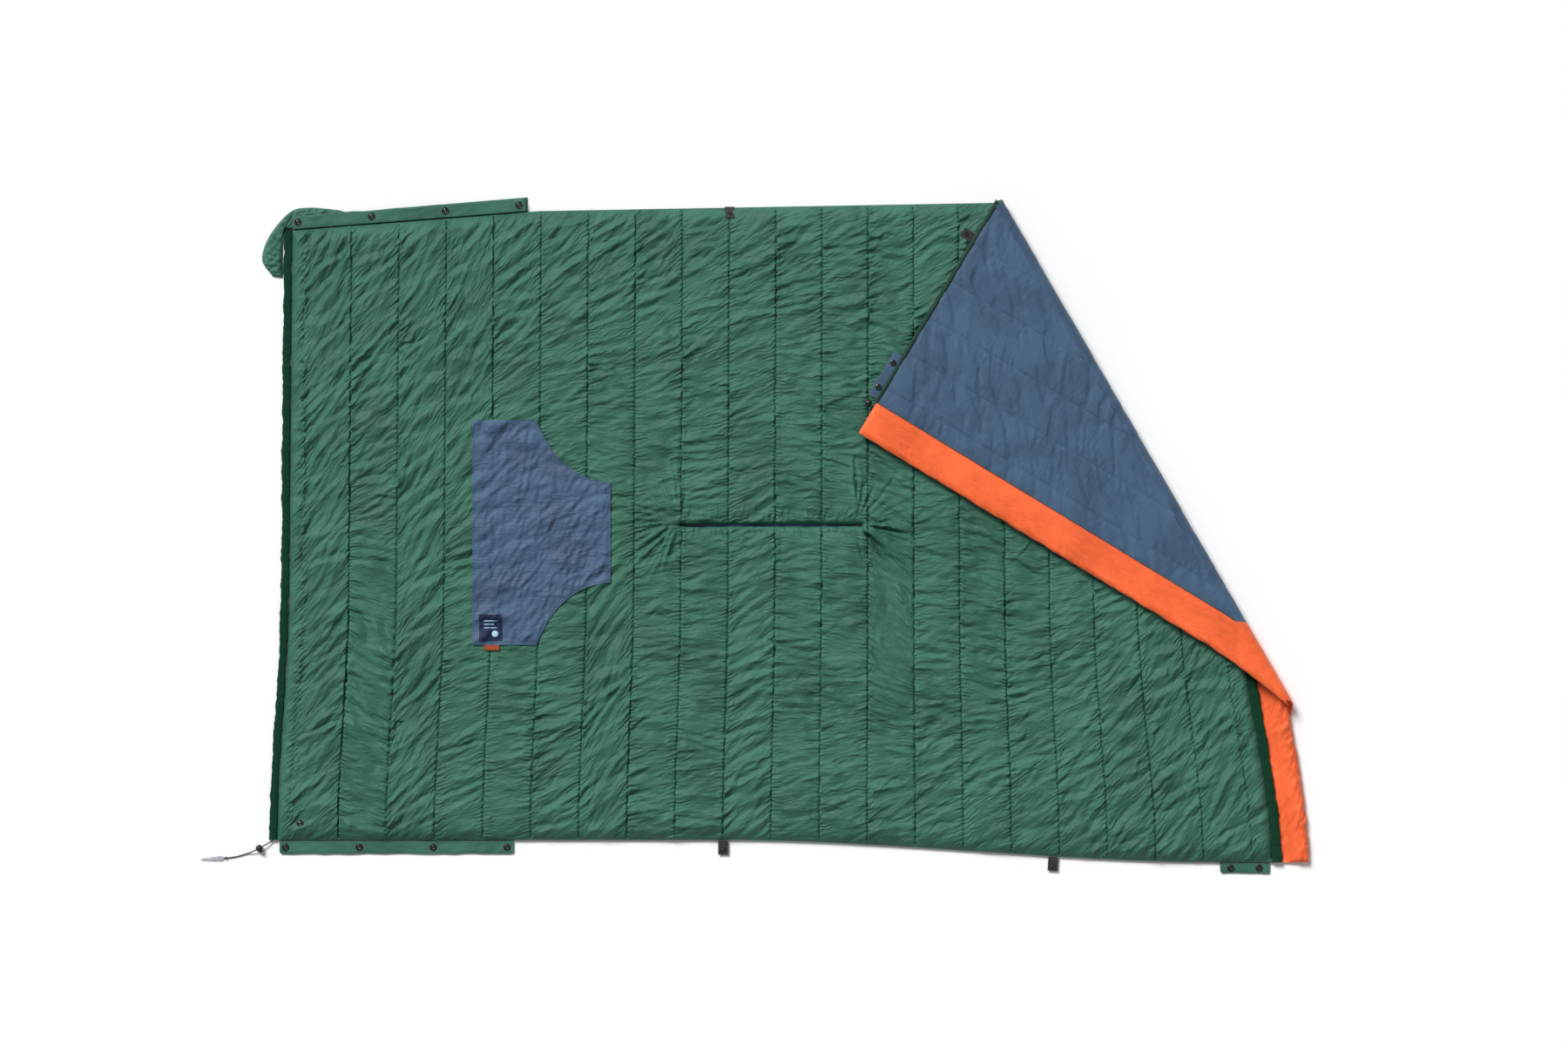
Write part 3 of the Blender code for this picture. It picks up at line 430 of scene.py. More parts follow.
def crease_map(s, v, k):
    """Places along and across the creases of chamber k. Each is the integral of the heading's sine or
    cosine over v, and a part across the chamber, so the creases follow a heading that turns with v."""
    across_quilt = np.linspace(-0.05, WIDTH + 0.15, 400)
    along, across = np.empty_like(s), np.empty_like(s)
    for chamber in range(CHAMBERS):
        here = k == chamber
        if not here.any():
            continue
        turn = np.radians(np.interp(across_quilt, HEADING_PLACES, HEADINGS[chamber]))
        step = across_quilt[1] - across_quilt[0]
        cos_sum, sin_sum = np.cumsum(np.cos(turn)) * step, np.cumsum(np.sin(turn)) * step
        off = s[here] - FOOT_BAND - (chamber + 0.5) * PITCH
        place, angle = v[here], np.interp(v[here], across_quilt, turn)
        across[here] = np.interp(place, across_quilt, cos_sum) - off * np.sin(angle)
        along[here] = np.interp(place, across_quilt, sin_sum) + off * np.cos(angle) + 0.7 * chamber
    return along, across


def fold_wave(phase):
    """A wave from -1 to 1 with straight flanks, a slow rise and a quicker fall."""
    rise = 0.62
    part = phase - np.floor(phase)
    return 2 * np.where(part < rise, part / rise, (1 - part) / (1 - rise)) - 1


def creases(s, v):
    """Pleats with flat flanks along each chamber's heading. Slow noise bends them, fades them in and out,
    and crosses them with a second set; they are longer and fuller where the heading is steep."""
    k = chamber_of(s)
    a, c = crease_map(s, v, k)
    order = smooth((np.abs(heading(s, v)) - 0.40) / 0.35)
    shift = 3.7 * k
    bend = (0.018 - 0.010 * order) * noise(a / 0.11, c / 0.070 + shift, 7)
    total = np.zeros_like(s)
    for wide, tall, tilt, patch, seed in (
        (0.0290, 0.0024, 0.00, 0.150, 8),
        (0.0450, 0.0034, 0.45, 0.100, 9),
        (0.0180, 0.0009, -0.25, 0.090, 10),
    ):
        place = (c + bend) * math.cos(tilt) + a * math.sin(tilt)
        fade = noise(a / patch + shift, c / (patch * 0.30), seed)
        amount = smooth(0.34 + 1.35 * fade + 0.28 * order)
        total += tall * amount * fold_wave(place / wide + 0.7 * noise(a / 0.14, c / 0.08 + shift, seed + 20))
    return total


def shell_wrinkles():
    """Pleats that start along every seam and run in at the chamber's heading, in three sizes, loose ones
    between them, fans of gathers at the neck slit's ends and short ones along its sides."""
    rng = np.random.default_rng(11)
    field = Raster(LENGTH, WIDTH + 0.12, 0.0016)
    seams = FOOT_BAND + PITCH * np.arange(CHAMBERS + 1)
    for side in (-1, 1):
        for spacing, lengths, widths, share, spread in (
            (0.0230, (0.040, 0.125), (0.0026, 0.0044), 1.00, 9),
            (0.0140, (0.018, 0.050), (0.0018, 0.0030), 0.85, 14),
            (0.0085, (0.006, 0.018), (0.0013, 0.0021), 0.80, 20),
        ):
            places = np.arange(0, WIDTH + 0.07, spacing)
            s = np.repeat(seams, len(places)) + side * 0.0006
            v = np.tile(places, len(seams)) + rng.normal(0, spacing * 0.30, len(s))
            angle = heading(s + side * 0.03, v) + np.radians(rng.normal(0, spread, len(s)))
            steep = np.clip(np.abs(heading(s + side * 0.03, v)) / 0.8, 0.35, 1)
            length = rng.uniform(*lengths, len(s)) * (0.60 + 0.55 * steep)
            width = rng.uniform(*widths, len(s))
            strength = np.clip(0.80 + 1.5 * noise(s / 0.15, v / 0.10, 5), 0.15, 1.6)
            field.add(s, v, angle + (np.pi if side < 0 else 0), length, width, share * width * strength,
                      rng.normal(0, 0.008, len(s)), keep_in_chamber=True, rooted=True)
    count = 800
    s, v = rng.uniform(FOOT_BAND, LENGTH - 0.01, count), rng.uniform(0, WIDTH + 0.08, count)
    width = rng.uniform(0.0022, 0.0042, count)
    strength = np.clip(0.8 + 1.4 * noise(s / 0.12, v / 0.16, 6), 0.1, 1.8)
    field.add(s, v, heading(s, v) + np.radians(rng.normal(0, 16, count)), rng.uniform(0.012, 0.045, count),
              width, 0.50 * width * strength, rng.normal(0, 0.008, count), keep_in_chamber=True)
    slit_v = SLIT[2] + WIDTH / 2
    for end, way in ((SLIT[0], np.pi), (SLIT[1], 0.0)):
        count = 64
        lean_down = 1 if way else -1
        fan = np.concatenate([rng.uniform(4, 76, 44), rng.uniform(-100, 0, 20)])
        spread = way + lean_down * np.radians(fan)
        half = rng.uniform(0.030, 0.075, count)
        reach = 0.012 + half
        s, v = end + FOOT_BAND + reach * np.cos(spread), slit_v + reach * np.sin(spread)
        field.add(s, v, spread, half, rng.uniform(0.0024, 0.0042, count), rng.uniform(0.0014, 0.0030, count),
                  rng.normal(0, 0.004, count))
    count = 130
    s = rng.uniform(SLIT[0], SLIT[1], count) + FOOT_BAND
    side = np.where(rng.random(count) < 0.5, -1, 1)
    v = slit_v + side * rng.uniform(0.006, 0.022, count)
    field.add(s, v, np.radians(90 + rng.normal(0, 22, count)), rng.uniform(0.010, 0.022, count),
              rng.uniform(0.0018, 0.0030, count), rng.uniform(0.0009, 0.0018, count),
              rng.normal(0, 0.003, count))
    return field


def lining_wrinkles():
    """Soft long folds across the lining's chambers, finer ones among them, and puckers along the seams."""
    rng = np.random.default_rng(23)
    field = Raster(LENGTH, WIDTH + 0.12)
    count = 1100
    s, v = rng.uniform(1.2, LENGTH, count), rng.uniform(0.35, WIDTH + 0.05, count)
    width = rng.uniform(0.0035, 0.0095, count)
    angle = np.radians(-32 + 22 * noise(s / 0.3, v / 0.3, 31) + rng.normal(0, 8, count))
    strength = np.clip(0.9 + 1.3 * noise(s / 0.10, v / 0.14, 33), 0.1, 1.8)
    field.add(s, v, angle, rng.uniform(0.035, 0.105, count), width, 0.22 * width * strength,
              rng.normal(0, 0.008, count))
    count = 2200
    s, v = rng.uniform(1.2, LENGTH, count), rng.uniform(0.35, WIDTH + 0.05, count)
    width = rng.uniform(0.0020, 0.0036, count)
    strength = np.clip(0.8 + 1.6 * noise(s / 0.09, v / 0.12, 34), 0.0, 1.9)
    angle = np.radians(-32 + 22 * noise(s / 0.3, v / 0.3, 31) + rng.normal(0, 12, count))
    field.add(s, v, angle, rng.uniform(0.016, 0.055, count), width, 0.20 * width * strength,
              rng.normal(0, 0.005, count))
    seams = FOOT_BAND + PITCH * np.arange(CHAMBERS + 1)
    seams = seams[seams > 1.2]
    per_seam = 110
    s = np.repeat(seams, per_seam)
    v = np.tile(np.linspace(0.3, WIDTH + 0.05, per_seam), len(seams))
    s = s + np.where(rng.random(len(s)) < 0.5, -1, 1) * rng.uniform(0.004, 0.014, len(s))
    field.add(s, v, np.radians(rng.normal(0, 20, len(s))), rng.uniform(0.008, 0.022, len(s)),
              rng.uniform(0.0020, 0.0036, len(s)), rng.uniform(0.0003, 0.0008, len(s)),
              rng.normal(0, 0.003, len(s)))
    return field


def strip_wrinkles(length, width, seed, spread, lean_to, size, share):
    """Wrinkles over a strip of cloth, spread degrees about the heading lean_to."""
    rng = np.random.default_rng(seed)
    field = Raster(length, width)
    count = int(length * width / (size * size * 9))
    wide = rng.uniform(0.6, 1.3, count) * size
    field.add(rng.uniform(0, length, count), rng.uniform(0, width, count),
              np.radians(lean_to + rng.normal(0, spread, count)), wide * rng.uniform(4, 9, count), wide,
              share * wide * rng.uniform(0.3, 1.2, count), rng.normal(0, size, count))
    return field


# ---- padding ----

def chamber_share(s):
    """How far s lies through its chamber, or through the band at an end, and its dome's share of the loft."""
    run = (s - FOOT_BAND) / PITCH
    middle = np.mod(run, 1.0)
    foot = np.clip(s / FOOT_BAND, 0, 1)
    head = np.clip((s - FOOT_BAND - CHAMBERS * PITCH) / HEAD_BAND, 0, 1)
    share = np.where(run < 0, foot, np.where(run > CHAMBERS, head, middle))
    tall = np.where(run < 0, 0.30, np.where(run > CHAMBERS, 0.5, 1.0))
    return share, tall


def edge_distance(s, t):
    """Metres to the nearest edge of the quilt; an end edge counts as further off, so it eases down faster."""
    return np.minimum(np.minimum(t, 1 - t) * WIDTH, np.minimum(s, LENGTH - s) * 1.6)


def slit_distance(x, y):
    """Metres from the neck slit's middle line."""
    past = np.maximum(np.maximum(SLIT[0] - x, x - SLIT[1]), 0)
    return np.hypot(past, y - SLIT[2])


def shell_height(s, t, field):
    """Height of the green face: a dome in each chamber, a power of a half sine, with slow lumps of filling.
    Quarter sines ease it down at the quilt's edges and the neck slit, wrinkles are added, and a narrow
    notch lies along each seam. The slit itself opens down to the base."""
    x, y = plan(s, t)
    v = t * WIDTH
    share, tall = chamber_share(s)
    dome = np.clip(np.sin(np.pi * share), 0, 1) ** 0.42
    lumps = 0.16 * noise(s / 0.07, v / 0.11, 3) + 0.10 * noise(s / 0.035 + 9, v / 0.04, 4)
    height = SEAM_Z + (LOFT_Z - SEAM_Z) * tall * dome * (1 + lumps)
    rim = np.sin(np.pi / 2 * np.clip(edge_distance(s, t) / EDGE_REACH, 0, 1)) ** 0.8
    pinch = np.sin(np.pi / 2 * np.clip((slit_distance(x, y) - 0.001) / 0.011, 0, 1)) ** 0.6
    height = EDGE_Z + (height - EDGE_Z) * rim
    height = EDGE_Z + (height - EDGE_Z) * pinch
    body = (0.25 + 0.75 * rim) * (0.30 + 0.70 * pinch)
    height = height + (field.at(s, v) + creases(s, v) * np.clip(dome * 1.5 - 0.3, 0, 1)) * body
    notch = np.exp(-(np.minimum(share, 1 - share) * PITCH / 0.0017) ** 2) * (tall == 1)
    height = np.maximum(height - 0.0018 * notch, MIDDLE_Z + 0.0012)
    opening = smooth((slit_distance(x, y) - 0.0016) / 0.0024)
    bottom = BODY_BASE_Z + 0.0002
    return bottom + (height - bottom) * opening


def lining_height(s, t, field):
    """Height of the blue face, which lies under the green one and never under the floor: low in each
    chamber, raised at the seams."""
    share, tall = chamber_share(s)
    dome = np.clip(np.sin(np.pi * share), 0, 1) ** 0.55
    rim = np.sin(np.pi / 2 * np.clip(edge_distance(s, t) / EDGE_REACH, 0, 1)) ** 0.8
    notch = np.exp(-(np.minimum(share, 1 - share) * PITCH / 0.0024) ** 2) * (tall == 1)
    height = 0.0014 + 0.0014 * (1 - dome * rim) + 0.0003 * notch
    folds = field.at(s, t * WIDTH) * np.clip(0.35 + dome, 0, 1) * rim
    return np.clip(height - folds, 0.0003, 0.0032)


def stations():
    """Places along the quilt: even cells in each chamber, so that every seam has its own row."""
    inner = FOOT_BAND + PITCH * np.arange(CHAMBERS * CELLS_PER_CHAMBER + 1) / CELLS_PER_CHAMBER
    foot = np.linspace(0, FOOT_BAND, FOOT_CELLS + 1)[:-1]
    head = np.linspace(LENGTH - HEAD_BAND, LENGTH, HEAD_CELLS + 1)[1:]
    return np.concatenate([foot, inner, head])


def across_places(cells):
    """Shares across the quilt, closer together at its long edges."""
    even = np.linspace(0, 1, cells + 1)
    return even - 0.010 * np.sin(2 * np.pi * even)


def settle(points, pinned):
    """Lets the wrinkled cloth find its rest by simulation on every second point: seams and edges hold it,
    the filling pushes it up, and no point moves more than 3 mm. The points between move with their
    neighbours, so the finest creases stay."""
    rows, columns = len(points), points.shape[1]
    i, j = np.arange(0, rows, 2), np.arange(0, columns, 2)
    few = points[np.ix_(i, j)]
    held = pinned[np.ix_(i, j)].ravel()
    obj = make("settling_cloth", few, grid_faces(len(i), len(j)), SHELL)
    sewn = obj.vertex_groups.new(name="sewn")
    sewn.add([int(n) for n in np.flatnonzero(held)], 1.0, "ADD")
    cloth = obj.modifiers.new("cloth", "CLOTH")
    settings = cloth.settings
    settings.quality = 4
    settings.mass = 0.05
    settings.tension_stiffness = 8
    settings.compression_stiffness = 8
    settings.shear_stiffness = 2
    settings.bending_stiffness = 0.01
    settings.air_damping = 3
    settings.use_pressure = True
    settings.uniform_pressure_force = 1.0
    settings.vertex_group_mass = "sewn"
    settings.effector_weights.gravity = 0
    cloth.collision_settings.use_collision = False
    frames = 10
    cloth.point_cache.frame_start, cloth.point_cache.frame_end = 1, frames
    scene = bpy.context.scene
    for number in range(1, frames + 1):
        scene.frame_set(number)
    settled = np.empty(few.size, np.float32)
    obj.evaluated_get(bpy.context.evaluated_depsgraph_get()).data.vertices.foreach_get("co", settled)
    moved = settled.reshape(few.shape) - few
    moved *= np.minimum(1, 0.003 / np.maximum(np.linalg.norm(moved, axis=-1), 1e-9))[..., None]
    scene.frame_set(1)
    bpy.data.objects.remove(obj)
    back_i = np.interp(np.arange(rows), i, np.arange(len(i)))
    back_j = np.interp(np.arange(columns), j, np.arange(len(j)))
    row, column = back_i[:, None], back_j[None, :]
    return points + np.stack([between(moved[..., k], row, column) for k in range(3)], -1)


def fold_normal():
    """The level direction across the fold line, towards the corner."""
    normal = np.array([-FOLD_AXIS[1], FOLD_AXIS[0], 0.0])
    return normal if normal[0] > 0 else -normal


ACROSS_FOLD = fold_normal()
ALONG_FOLD = np.array([ACROSS_FOLD[1], -ACROSS_FOLD[0], 0.0])


def keep_side(work, corner, gap):
    """Cuts a bmesh with a plane at the fold line, gap metres to its own side, and keeps the corner or the
    rest."""
    place = FOLD_AT + ACROSS_FOLD * (gap if corner else -gap)
    bmesh.ops.bisect_plane(
        work, geom=work.verts[:] + work.edges[:] + work.faces[:], dist=1e-6,
        plane_co=Vector(place), plane_no=Vector(ACROSS_FOLD), clear_inner=corner, clear_outer=not corner,
    )


def half_pad(name, points, uv, corner, base_z, material, gap=CUT_GAP, crease=None):
    """One face of the quilt down to a flat base: the grid is cut along the fold line, its rim is drawn to
    the base height and closed with one flat face."""
    obj = make(name, points, grid_faces(*points.shape[:2]), material, uv, crease=crease)
    work = bmesh.new()
    work.from_mesh(obj.data)
    keep_side(work, corner, gap)
    rim = [edge for edge in work.edges if edge.is_boundary]
    drawn = bmesh.ops.extrude_edge_only(work, edges=rim)["geom"]
    for vertex in (g for g in drawn if isinstance(g, bmesh.types.BMVert)):
        vertex.co.z = base_z
    base = [edge for edge in work.edges if edge.is_boundary]
    bmesh.ops.holes_fill(work, edges=base, sides=0)
    bmesh.ops.recalc_face_normals(work, faces=work.faces)
    work.to_mesh(obj.data)
    work.free()
    obj.data.shade_smooth()
    obj.data.set_sharp_from_angle(angle=math.radians(60))
    return obj


def half_of(obj, corner):
    """Cuts a closed piece along the fold line, closes it again and keeps one side."""
    work = bmesh.new()
    work.from_mesh(obj.data)
    keep_side(work, corner, CUT_GAP)
    bmesh.ops.holes_fill(work, edges=[edge for edge in work.edges if edge.is_boundary], sides=0)
    bmesh.ops.recalc_face_normals(work, faces=work.faces)
    work.to_mesh(obj.data)
    work.free()
    obj.data.set_sharp_from_angle(angle=math.radians(60))
    return obj


def bent(points):
    """Carries flat points over the fold. Within BEND_REACH of the line a point turns half a turn round the
    axis, further out the further it lies from it; past that the corner is turned over."""
    points = np.asarray(points, float)
    arm = points - FOLD_AT
    past, along = arm @ ACROSS_FOLD, arm @ ALONG_FOLD
    turn = np.pi * np.clip((past + BEND_REACH) / (2 * BEND_REACH), 0, 1)
    radius = FOLD_AT[2] - points[..., 2]
    out = -BEND_REACH + (BEND_REACH + BEND_BULGE * radius / FOLD_AT[2]) * np.sin(turn)
    out = np.where(past < -BEND_REACH, past, np.where(past > BEND_REACH, -past, out))
    place = FOLD_AT + along[..., None] * ALONG_FOLD + out[..., None] * ACROSS_FOLD
    place[..., 2] = FOLD_AT[2] - radius * np.cos(turn)
    return place


def blend_over(obj):
    """Bakes the piece's transform into its points; it is put on no body, so it does not move with the corner.
    """
    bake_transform(obj)


def turn_over(obj):
    """Folds a piece of the corner over, from flat."""
    place = np.empty(len(obj.data.vertices) * 3, np.float32)
    obj.data.vertices.foreach_get("co", place)
    obj.data.vertices.foreach_set("co", folded(place.reshape(-1, 3)).astype(np.float32).ravel())
    obj.data.update()
    return obj


# ---- materials ----

class Shader:
    """Short calls for wiring a material or a node group."""

    def __init__(self, tree):
        self.tree = tree

    def node(self, kind, **settings):
        made = self.tree.nodes.new(kind)
        for key, value in settings.items():
            setattr(made, key, value)
        return made

    def link(self, out, into):
        self.tree.links.new(out, into)

    def math(self, operation, a, b=None, clamp=False):
        made = self.node("ShaderNodeMath", operation=operation, use_clamp=clamp)
        for socket, value in zip(made.inputs, (a, b)):
            if value is None:
                continue
            if isinstance(value, (int, float)):
                socket.default_value = value
            else:
                self.link(value, socket)
        return made.outputs[0]

    def ramp(self, value, low, high, low_to=0.0, high_to=1.0):
        made = self.node("ShaderNodeMapRange", interpolation_type="SMOOTHSTEP")
        self.link(value, made.inputs["Value"])
        for name, number in (("From Min", low), ("From Max", high), ("To Min", low_to), ("To Max", high_to)):
            made.inputs[name].default_value = number
        return made.outputs["Result"]

    def noise(self, vector, scale, detail, roughness, distortion=0.0):
        made = self.node("ShaderNodeTexNoise", noise_type="FBM")
        self.link(vector, made.inputs["Vector"])
        for name, number in (("Scale", scale), ("Detail", detail), ("Roughness", roughness),
                             ("Distortion", distortion)):
            made.inputs[name].default_value = number
        return made.outputs[0]

    def mix(self, share, a, b):
        made = self.node("ShaderNodeMix", data_type="RGBA")
        sockets = (made.inputs["Factor"], made.inputs[6], made.inputs[7])
        for socket, value in zip(sockets, (share, a, b)):
            if isinstance(value, tuple):
                socket.default_value = (*value, 1) if len(value) == 3 else value
            elif isinstance(value, (int, float)):
                socket.default_value = value
            else:
                self.link(value, socket)
        return made.outputs[2]


def group(name, inputs, outputs, build):
    """A shader node group with named sockets, built once."""
    tree = bpy.data.node_groups.new(name, "ShaderNodeTree")
    for label, kind, value in inputs:
        socket = tree.interface.new_socket(label, in_out="INPUT", socket_type=kind)
        if value is not None:
            socket.default_value = value
    for label, kind in outputs:
        tree.interface.new_socket(label, in_out="OUTPUT", socket_type=kind)
    shader = Shader(tree)
    build(shader, shader.node("NodeGroupInput"), shader.node("NodeGroupOutput"))
    return tree


def build_weave(shader, into, out):
    """Plain weave: two sine waves across each other, one over and one under in turn."""
    scaled = shader.node("ShaderNodeVectorMath", operation="SCALE")
    shader.link(into.outputs["Coordinates"], scaled.inputs[0])
    shader.link(into.outputs["Threads per metre"], scaled.inputs["Scale"])
    parts = shader.node("ShaderNodeSeparateXYZ")
    shader.link(scaled.outputs[0], parts.inputs[0])
    a = shader.math("SINE", shader.math("MULTIPLY", parts.outputs[0], math.pi))
    b = shader.math("SINE", shader.math("MULTIPLY", parts.outputs[1], math.pi))
    height = shader.math("MULTIPLY", a, b)
    shader.link(shader.math("MULTIPLY_ADD", height, 0.5), out.inputs["Height"])


def build_crinkle(shader, into, out):
    """Fine creases drawn out along the first coordinate: a folded wave bent by noise, fading in and out,
    over two finer ridged noises."""
    def stretched(x, y):
        made = shader.node("ShaderNodeMapping")
        made.inputs["Scale"].default_value = (x, y, 1.0)
        shader.link(into.outputs["Coordinates"], made.inputs["Vector"])
        return made.outputs[0]

    parts = shader.node("ShaderNodeSeparateXYZ")
    shader.link(into.outputs["Coordinates"], parts.inputs[0])
    bend = shader.noise(stretched(14, 30), 1.0, 2.0, 0.5)
    even = shader.math("MULTIPLY", parts.outputs[1], 95.0)
    phase = shader.math("ADD", even, shader.math("MULTIPLY", bend, 4.5))
    wave = shader.math("MULTIPLY", shader.math("PINGPONG", phase, 0.5), 2.0)
    fade = shader.ramp(shader.noise(stretched(16, 55), 1.0, 1.0, 0.5), 0.50, 0.66)
    middle = shader.noise(stretched(34, 120), 1.0, 2.0, 0.5, 0.4)
    fine = shader.noise(stretched(110, 260), 1.0, 2.0, 0.5, 0.6)
    ridge = shader.math("ABSOLUTE", shader.math("SUBTRACT", middle, 0.5))
    small = shader.math("ABSOLUTE", shader.math("SUBTRACT", fine, 0.5))
    total = shader.math("ADD", shader.math("MULTIPLY", wave, fade), shader.math("MULTIPLY", ridge, 3.0))
    shader.link(shader.math("ADD", total, shader.math("MULTIPLY", small, 1.0)), out.inputs["Height"])
    # Mask: where the cloth's colour takes a painted sheen, from the same noise as the middle ridges.
    shader.link(shader.ramp(middle, 0.35, 0.65), out.inputs["Mask"])


def build_puckers(shader, into, out):
    """Small sharp pleats that start at each seam and fade within a few centimetres of it: a folded wave
    across the creases, in patches."""
    parts, place = shader.node("ShaderNodeSeparateXYZ"), shader.node("ShaderNodeSeparateXYZ")
    shader.link(into.outputs["Creases"], parts.inputs[0])
    shader.link(into.outputs["Coordinates"], place.inputs[0])
    run = shader.math("SUBTRACT", place.outputs[0], FOOT_BAND)
    away = shader.node("ShaderNodeMath", operation="PINGPONG")
    shader.link(run, away.inputs[0])
    away.inputs[1].default_value = PITCH / 2
    bend = shader.noise(into.outputs["Coordinates"], 26, 2.0, 0.5)
    patch = shader.noise(into.outputs["Coordinates"], 17, 2.0, 0.55)
    reach = shader.ramp(patch, 0.38, 0.66, 0.010, 0.050)
    near = shader.math("SUBTRACT", 1.0, shader.math("DIVIDE", away.outputs[0], reach), clamp=True)
    even = shader.math("MULTIPLY", parts.outputs[1], 125.0)
    phase = shader.math("ADD", even, shader.math("MULTIPLY", bend, 3.0))
    wave = shader.math("MULTIPLY", shader.math("PINGPONG", phase, 0.5), 2.0)
    shader.link(shader.math("MULTIPLY", shader.math("POWER", wave, 1.6), near), out.inputs["Height"])


WEAVE = group(
    "plain_weave",
    [("Coordinates", "NodeSocketVector", None), ("Threads per metre", "NodeSocketFloat", 2400.0)],
    [("Height", "NodeSocketFloat")], build_weave,
)
CRINKLE = group(
    "fine_creases", [("Coordinates", "NodeSocketVector", None)],
    [("Height", "NodeSocketFloat"), ("Mask", "NodeSocketFloat")], build_crinkle,
)
PUCKERS = group(
    "seam_puckers", [("Coordinates", "NodeSocketVector", None), ("Creases", "NodeSocketVector", None)],
    [("Height", "NodeSocketFloat")], build_puckers,
)


def start_material(name, roughness, metallic=0.0, specular=0.5, sheen=0.0):
    """A new material with its plain values set, and the places that its patterns read."""
    made = bpy.data.materials.new(name)
    made.use_nodes = True
    tree = made.node_tree
    surface = tree.nodes["Principled BSDF"]
    surface.inputs["Roughness"].default_value = roughness
    surface.inputs["Metallic"].default_value = metallic
    surface.inputs["Specular IOR Level"].default_value = specular
    surface.inputs["Sheen Weight"].default_value = sheen
    shader = Shader(tree)
    place = shader.node("ShaderNodeTexCoord")
    return made, shader, surface, place.outputs["Object"], place.outputs["UV"]


def bumped(shader, surface, height, distance, strength=1.0, before=None):
    """Raises the surface by a height, on top of the relief before it."""
    bump = shader.node("ShaderNodeBump")
    bump.inputs["Distance"].default_value = distance
    bump.inputs["Strength"].default_value = strength
    shader.link(height, bump.inputs["Height"])
    if before is not None:
        shader.link(before, bump.inputs["Normal"])
    shader.link(bump.outputs[0], surface.inputs["Normal"])
    return bump.outputs[0]


def woven(shader, place, threads):
    """The plain weave's height at a place, with its threads per metre."""
    weave = shader.node("ShaderNodeGroup", node_tree=WEAVE)
    shader.link(place, weave.inputs["Coordinates"])
    weave.inputs["Threads per metre"].default_value = threads
    return weave.outputs["Height"]


def lighter(colour, times, more):
    return tuple(min(1.0, c * times + more) for c in colour)


def cloth_material(name, colour, roughness, sheen, crease=0.0006, use_uv=True, creased=False):
    """Thin woven cloth: slow shifts of colour, fine creases with a painted sheen on them, and a plain weave.
    A creased one follows its own crease map and has puckers along its seams."""
    made, shader, surface, object_place, uv = start_material(name, roughness, specular=0.25, sheen=sheen)
    place = uv if use_uv else object_place
    crinkle = shader.node("ShaderNodeGroup", node_tree=CRINKLE)
    relief = crinkle.outputs["Height"]
    if creased:
        along_creases = shader.node("ShaderNodeUVMap", uv_map="crease")
        shader.link(along_creases.outputs[0], crinkle.inputs["Coordinates"])
        puckers = shader.node("ShaderNodeGroup", node_tree=PUCKERS)
        shader.link(along_creases.outputs[0], puckers.inputs["Creases"])
        shader.link(uv, puckers.inputs["Coordinates"])
        relief = shader.math("ADD", relief, shader.math("MULTIPLY", puckers.outputs["Height"], 1.5))
    else:
        shader.link(place, crinkle.inputs["Coordinates"])
    weave = woven(shader, place, 2600.0)
    slow = shader.noise(place, 9, 3.0, 0.6)
    dark, light = lighter(colour, 0.82, 0), lighter(colour, 1.14, 0.004)
    tone = shader.mix(shader.ramp(slow, 0.35, 0.65), dark, light)
    # Painted sheen: the colour is lighter where the crinkle's Mask is high, in step with the fine creases.
    painted_crease_sheen = shader.math("MULTIPLY", crinkle.outputs["Mask"], 0.35)
    tone = shader.mix(painted_crease_sheen, tone, lighter(colour, 1.10, 0.006))
    shader.link(tone, surface.inputs["Base Color"])
    shader.link(shader.ramp(slow, 0.3, 0.7, roughness - 0.05, roughness + 0.06), surface.inputs["Roughness"])
    surface.inputs["Sheen Roughness"].default_value = 0.4
    first = bumped(shader, surface, relief, crease)
    bumped(shader, surface, weave, 0.00010, 0.5, before=first)
    return made


def pile_material(name, colour):
    """Short brushed pile: dense high noise, a soft sheen, and tips painted lighter, a painted highlight."""
    made, shader, surface, place, _ = start_material(name, 0.95, specular=0.1, sheen=0.3)
    tufts = shader.noise(place, 900, 3.0, 0.7)
    slow = shader.noise(place, 60, 3.0, 0.6)
    # Painted highlight: the colour is lighter where the tufts, which also drive the bump, stand highest.
    tone = shader.mix(shader.ramp(tufts, 0.35, 0.75), colour, lighter(colour, 2.6, 0.004))
    shader.link(tone, surface.inputs["Base Color"])
    surface.inputs["Sheen Tint"].default_value = (0.10, 0.45, 0.25, 1)
    surface.inputs["Sheen Roughness"].default_value = 0.55
    height = shader.math("ADD", tufts, shader.math("MULTIPLY", slow, 1.5))
    bumped(shader, surface, height, 0.0012)
    return made


def webbing_material(name, colour):
    """Woven webbing: ribs along it and a herringbone of yarns across."""
    made, shader, surface, _, uv = start_material(name, 0.75, specular=0.3, sheen=0.25)
    weave = woven(shader, uv, 900.0)
    tone = shader.mix(shader.ramp(weave, -0.5, 0.5), colour, lighter(colour, 2.2, 0.008))
    shader.link(tone, surface.inputs["Base Color"])
    bumped(shader, surface, weave, 0.0004)
    return made


def plastic_material(name, colour, roughness=0.32):
    """Moulded plastic: a fine grain, and scuffs that are lighter and duller."""
    made, shader, surface, place, _ = start_material(name, roughness)
    grain = shader.noise(place, 1400, 2.0, 0.5)
    scuff = shader.noise(place, 240, 4.0, 0.65)
    tone = shader.mix(shader.ramp(scuff, 0.45, 0.8), colour, lighter(colour, 1.8, 0.01))
    shader.link(tone, surface.inputs["Base Color"])
    dull = shader.ramp(scuff, 0.3, 0.75, roughness - 0.06, roughness + 0.14)
    shader.link(dull, surface.inputs["Roughness"])
    bumped(shader, surface, grain, 0.00005)
    return made


